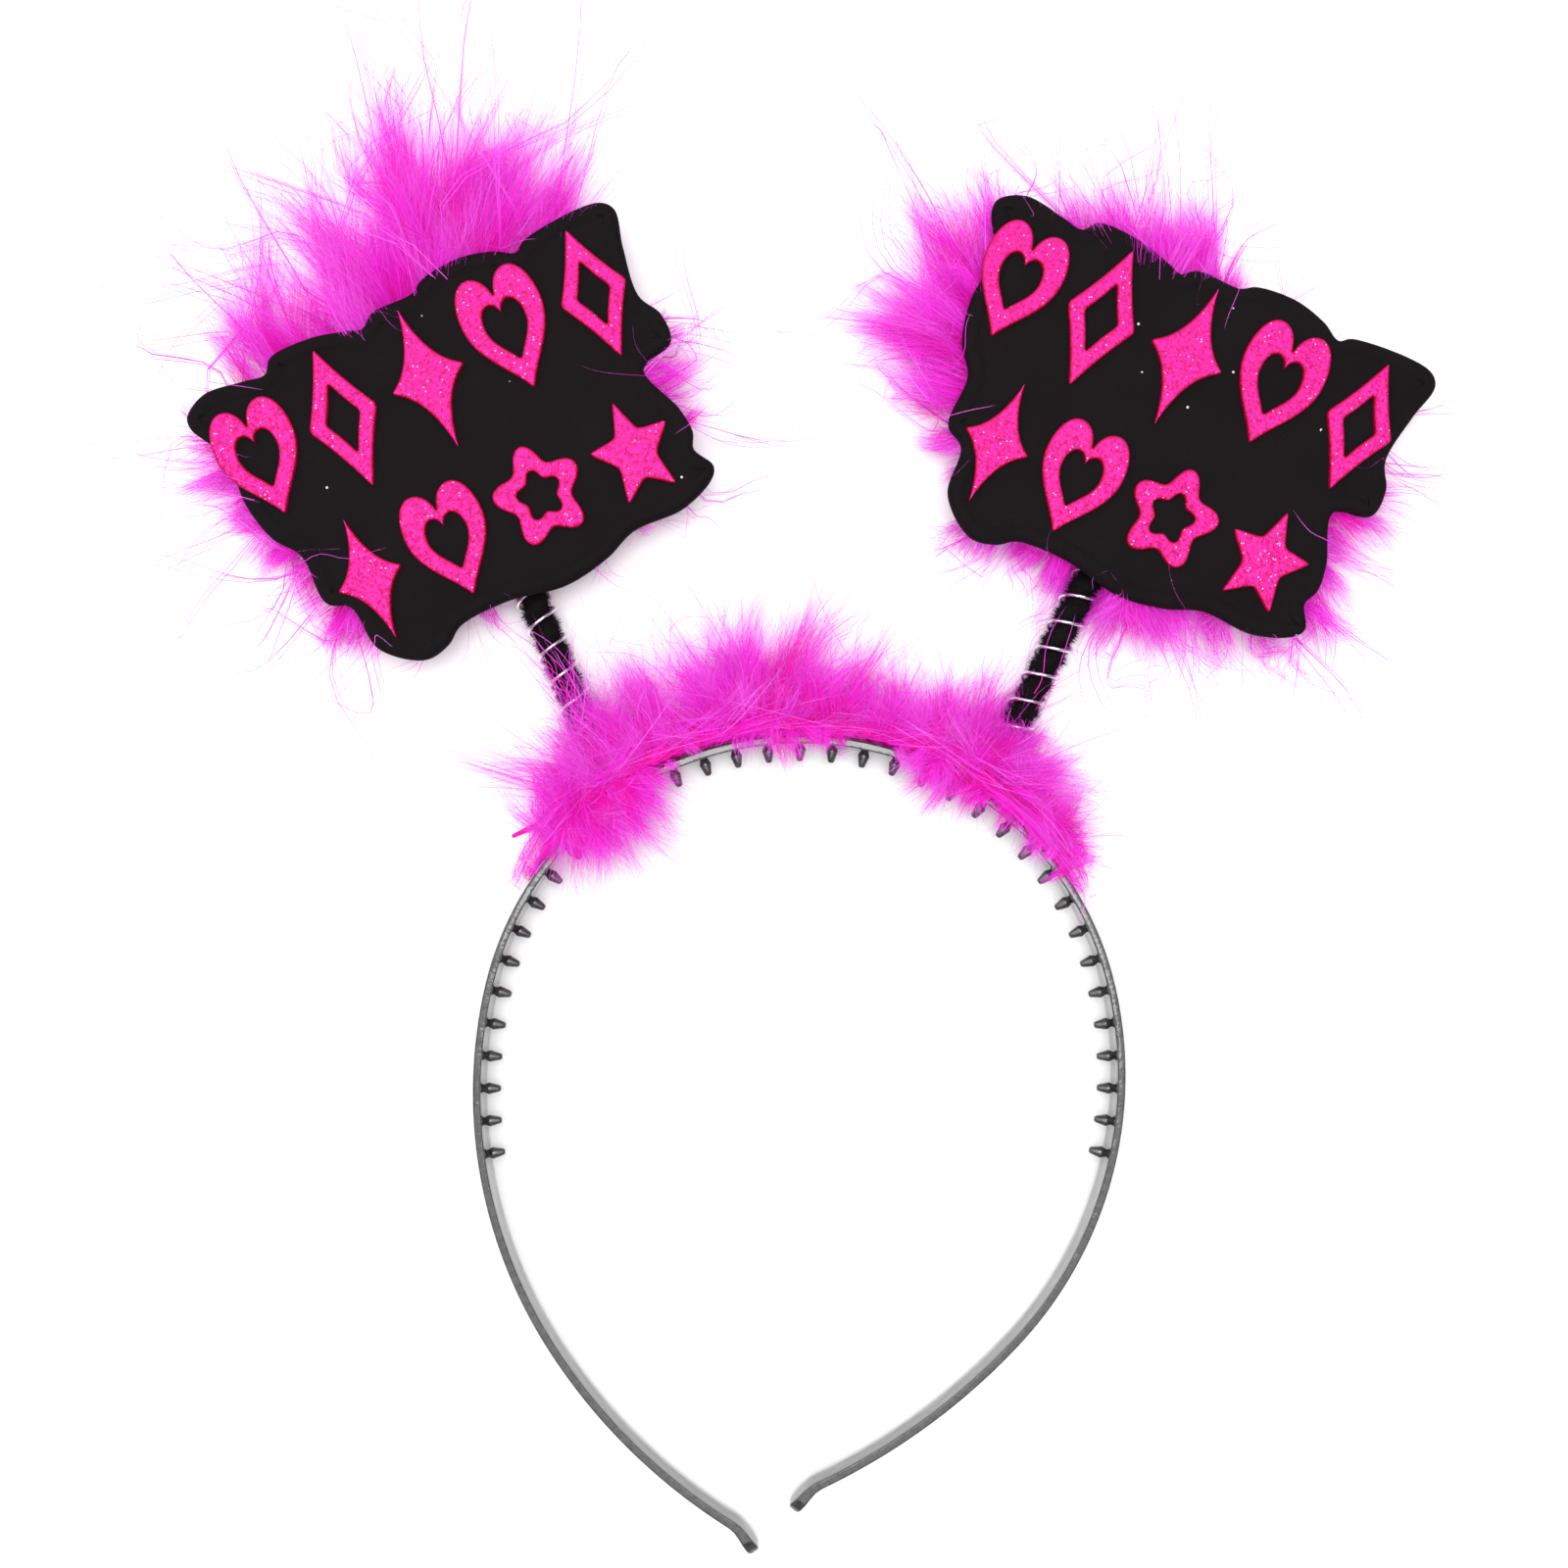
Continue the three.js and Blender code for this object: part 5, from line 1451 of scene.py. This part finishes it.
# The glue pad: a domed profile turned upright, its radius wobbling with the bearing
def gluePadBody(name):
    start, way, _ = stalkFrame(name)
    radius = gluePad["radius"]
    low, top = stalks["height"] - gluePad["below"], boards["back"] - gluePad["gap"]
    profile = np.array([(radius * 0.55, low), (radius * 0.8, low + 0.4), (radius * 0.97, low + 2),
                        (radius, (low + top) / 2), (radius * 0.98, top - 0.6), (radius * 0.9, top)])
    angle = np.linspace(0, 2 * math.pi, 60, endpoint=False)
    wobble = 1 + 0.03 * np.sin(3 * angle + 1) + 0.02 * np.sin(5 * angle)
    middle = start + way * (stalks[name]["length"] - gluePad["overlap"] + radius)
    across, rise = profile[:, :1], profile[:, 1:] * np.ones(len(angle))
    rings = np.stack([across * np.cos(angle) * wobble, across * np.sin(angle) * wobble, rise], -1)
    rings[..., :2] += middle[:2]
    return ringBody(rings)


for name in ("left", "right"):
    addPiece(name + "_glue", gluePadBody(name), glue, [name + "_glue_pad"])


shot = {
    "eye": (-3.092, -8.508, 410.0),
    "lens": 48.02,
    "sensor": 36.0,
    "lightsAim": (0, 0, 0),
    "floorHalf": 3,
    "floorDrop": -0.0002,
    "floorColor": (0.93, 0.93, 0.93, 1),
}
# Rows: name, place in m, size in m, power in W
lights = [
    ("broadSoftbox", (0, 0, 1.2), 1.5, 12.5),
    ("topSoftbox", (0.02, 0.08, 1.0), 0.5, 5),
    ("sideSoftbox", (-0.8, 0.4, 0.7), 0.7, 3),
]


def linked(name, data):
    made = bpy.data.objects.new(name, data)
    bpy.context.scene.collection.objects.link(made)
    return made


def addFloor():
    mesh = bpy.data.meshes.new("floor")
    half, drop = shot["floorHalf"], shot["floorDrop"]
    corners = [(-half, -half, drop), (half, -half, drop), (half, half, drop), (-half, half, drop)]
    mesh.from_pydata(corners, [], [(0, 1, 2, 3)])
    floor = linked("floor", mesh)
    material, _, shader = newMaterial("paleFloor", Roughness=0.8)
    shader.inputs["Base Color"].default_value = shot["floorColor"]
    mesh.materials.append(material)


def addLight(name, place, size, power):
    data = bpy.data.lights.new(name, "AREA")
    data.size, data.energy = size, power
    light = linked(name, data)
    light.location = place
    toward = Vector(shot["lightsAim"]) - Vector(place)
    light.rotation_euler = toward.to_track_quat("-Z", "Y").to_euler()


def addCamera():
    data = bpy.data.cameras.new("camera")
    data.lens, data.sensor_width = shot["lens"], shot["sensor"]
    data.clip_start, data.clip_end = 0.01, 20
    camera = linked("camera", data)
    camera.location = Vector((np.array(shot["eye"]) + crown) * mm)
    bpy.context.scene.camera = camera


addFloor()
for row in lights:
    addLight(*row)
addCamera()
world = bpy.data.worlds.new("studio")
world.use_nodes = True
background = world.node_tree.nodes["Background"].inputs
background["Color"].default_value = (1, 1, 1, 1)
background["Strength"].default_value = 0.4
bpy.context.scene.world = world
bpy.context.scene.view_settings.view_transform = "Standard"
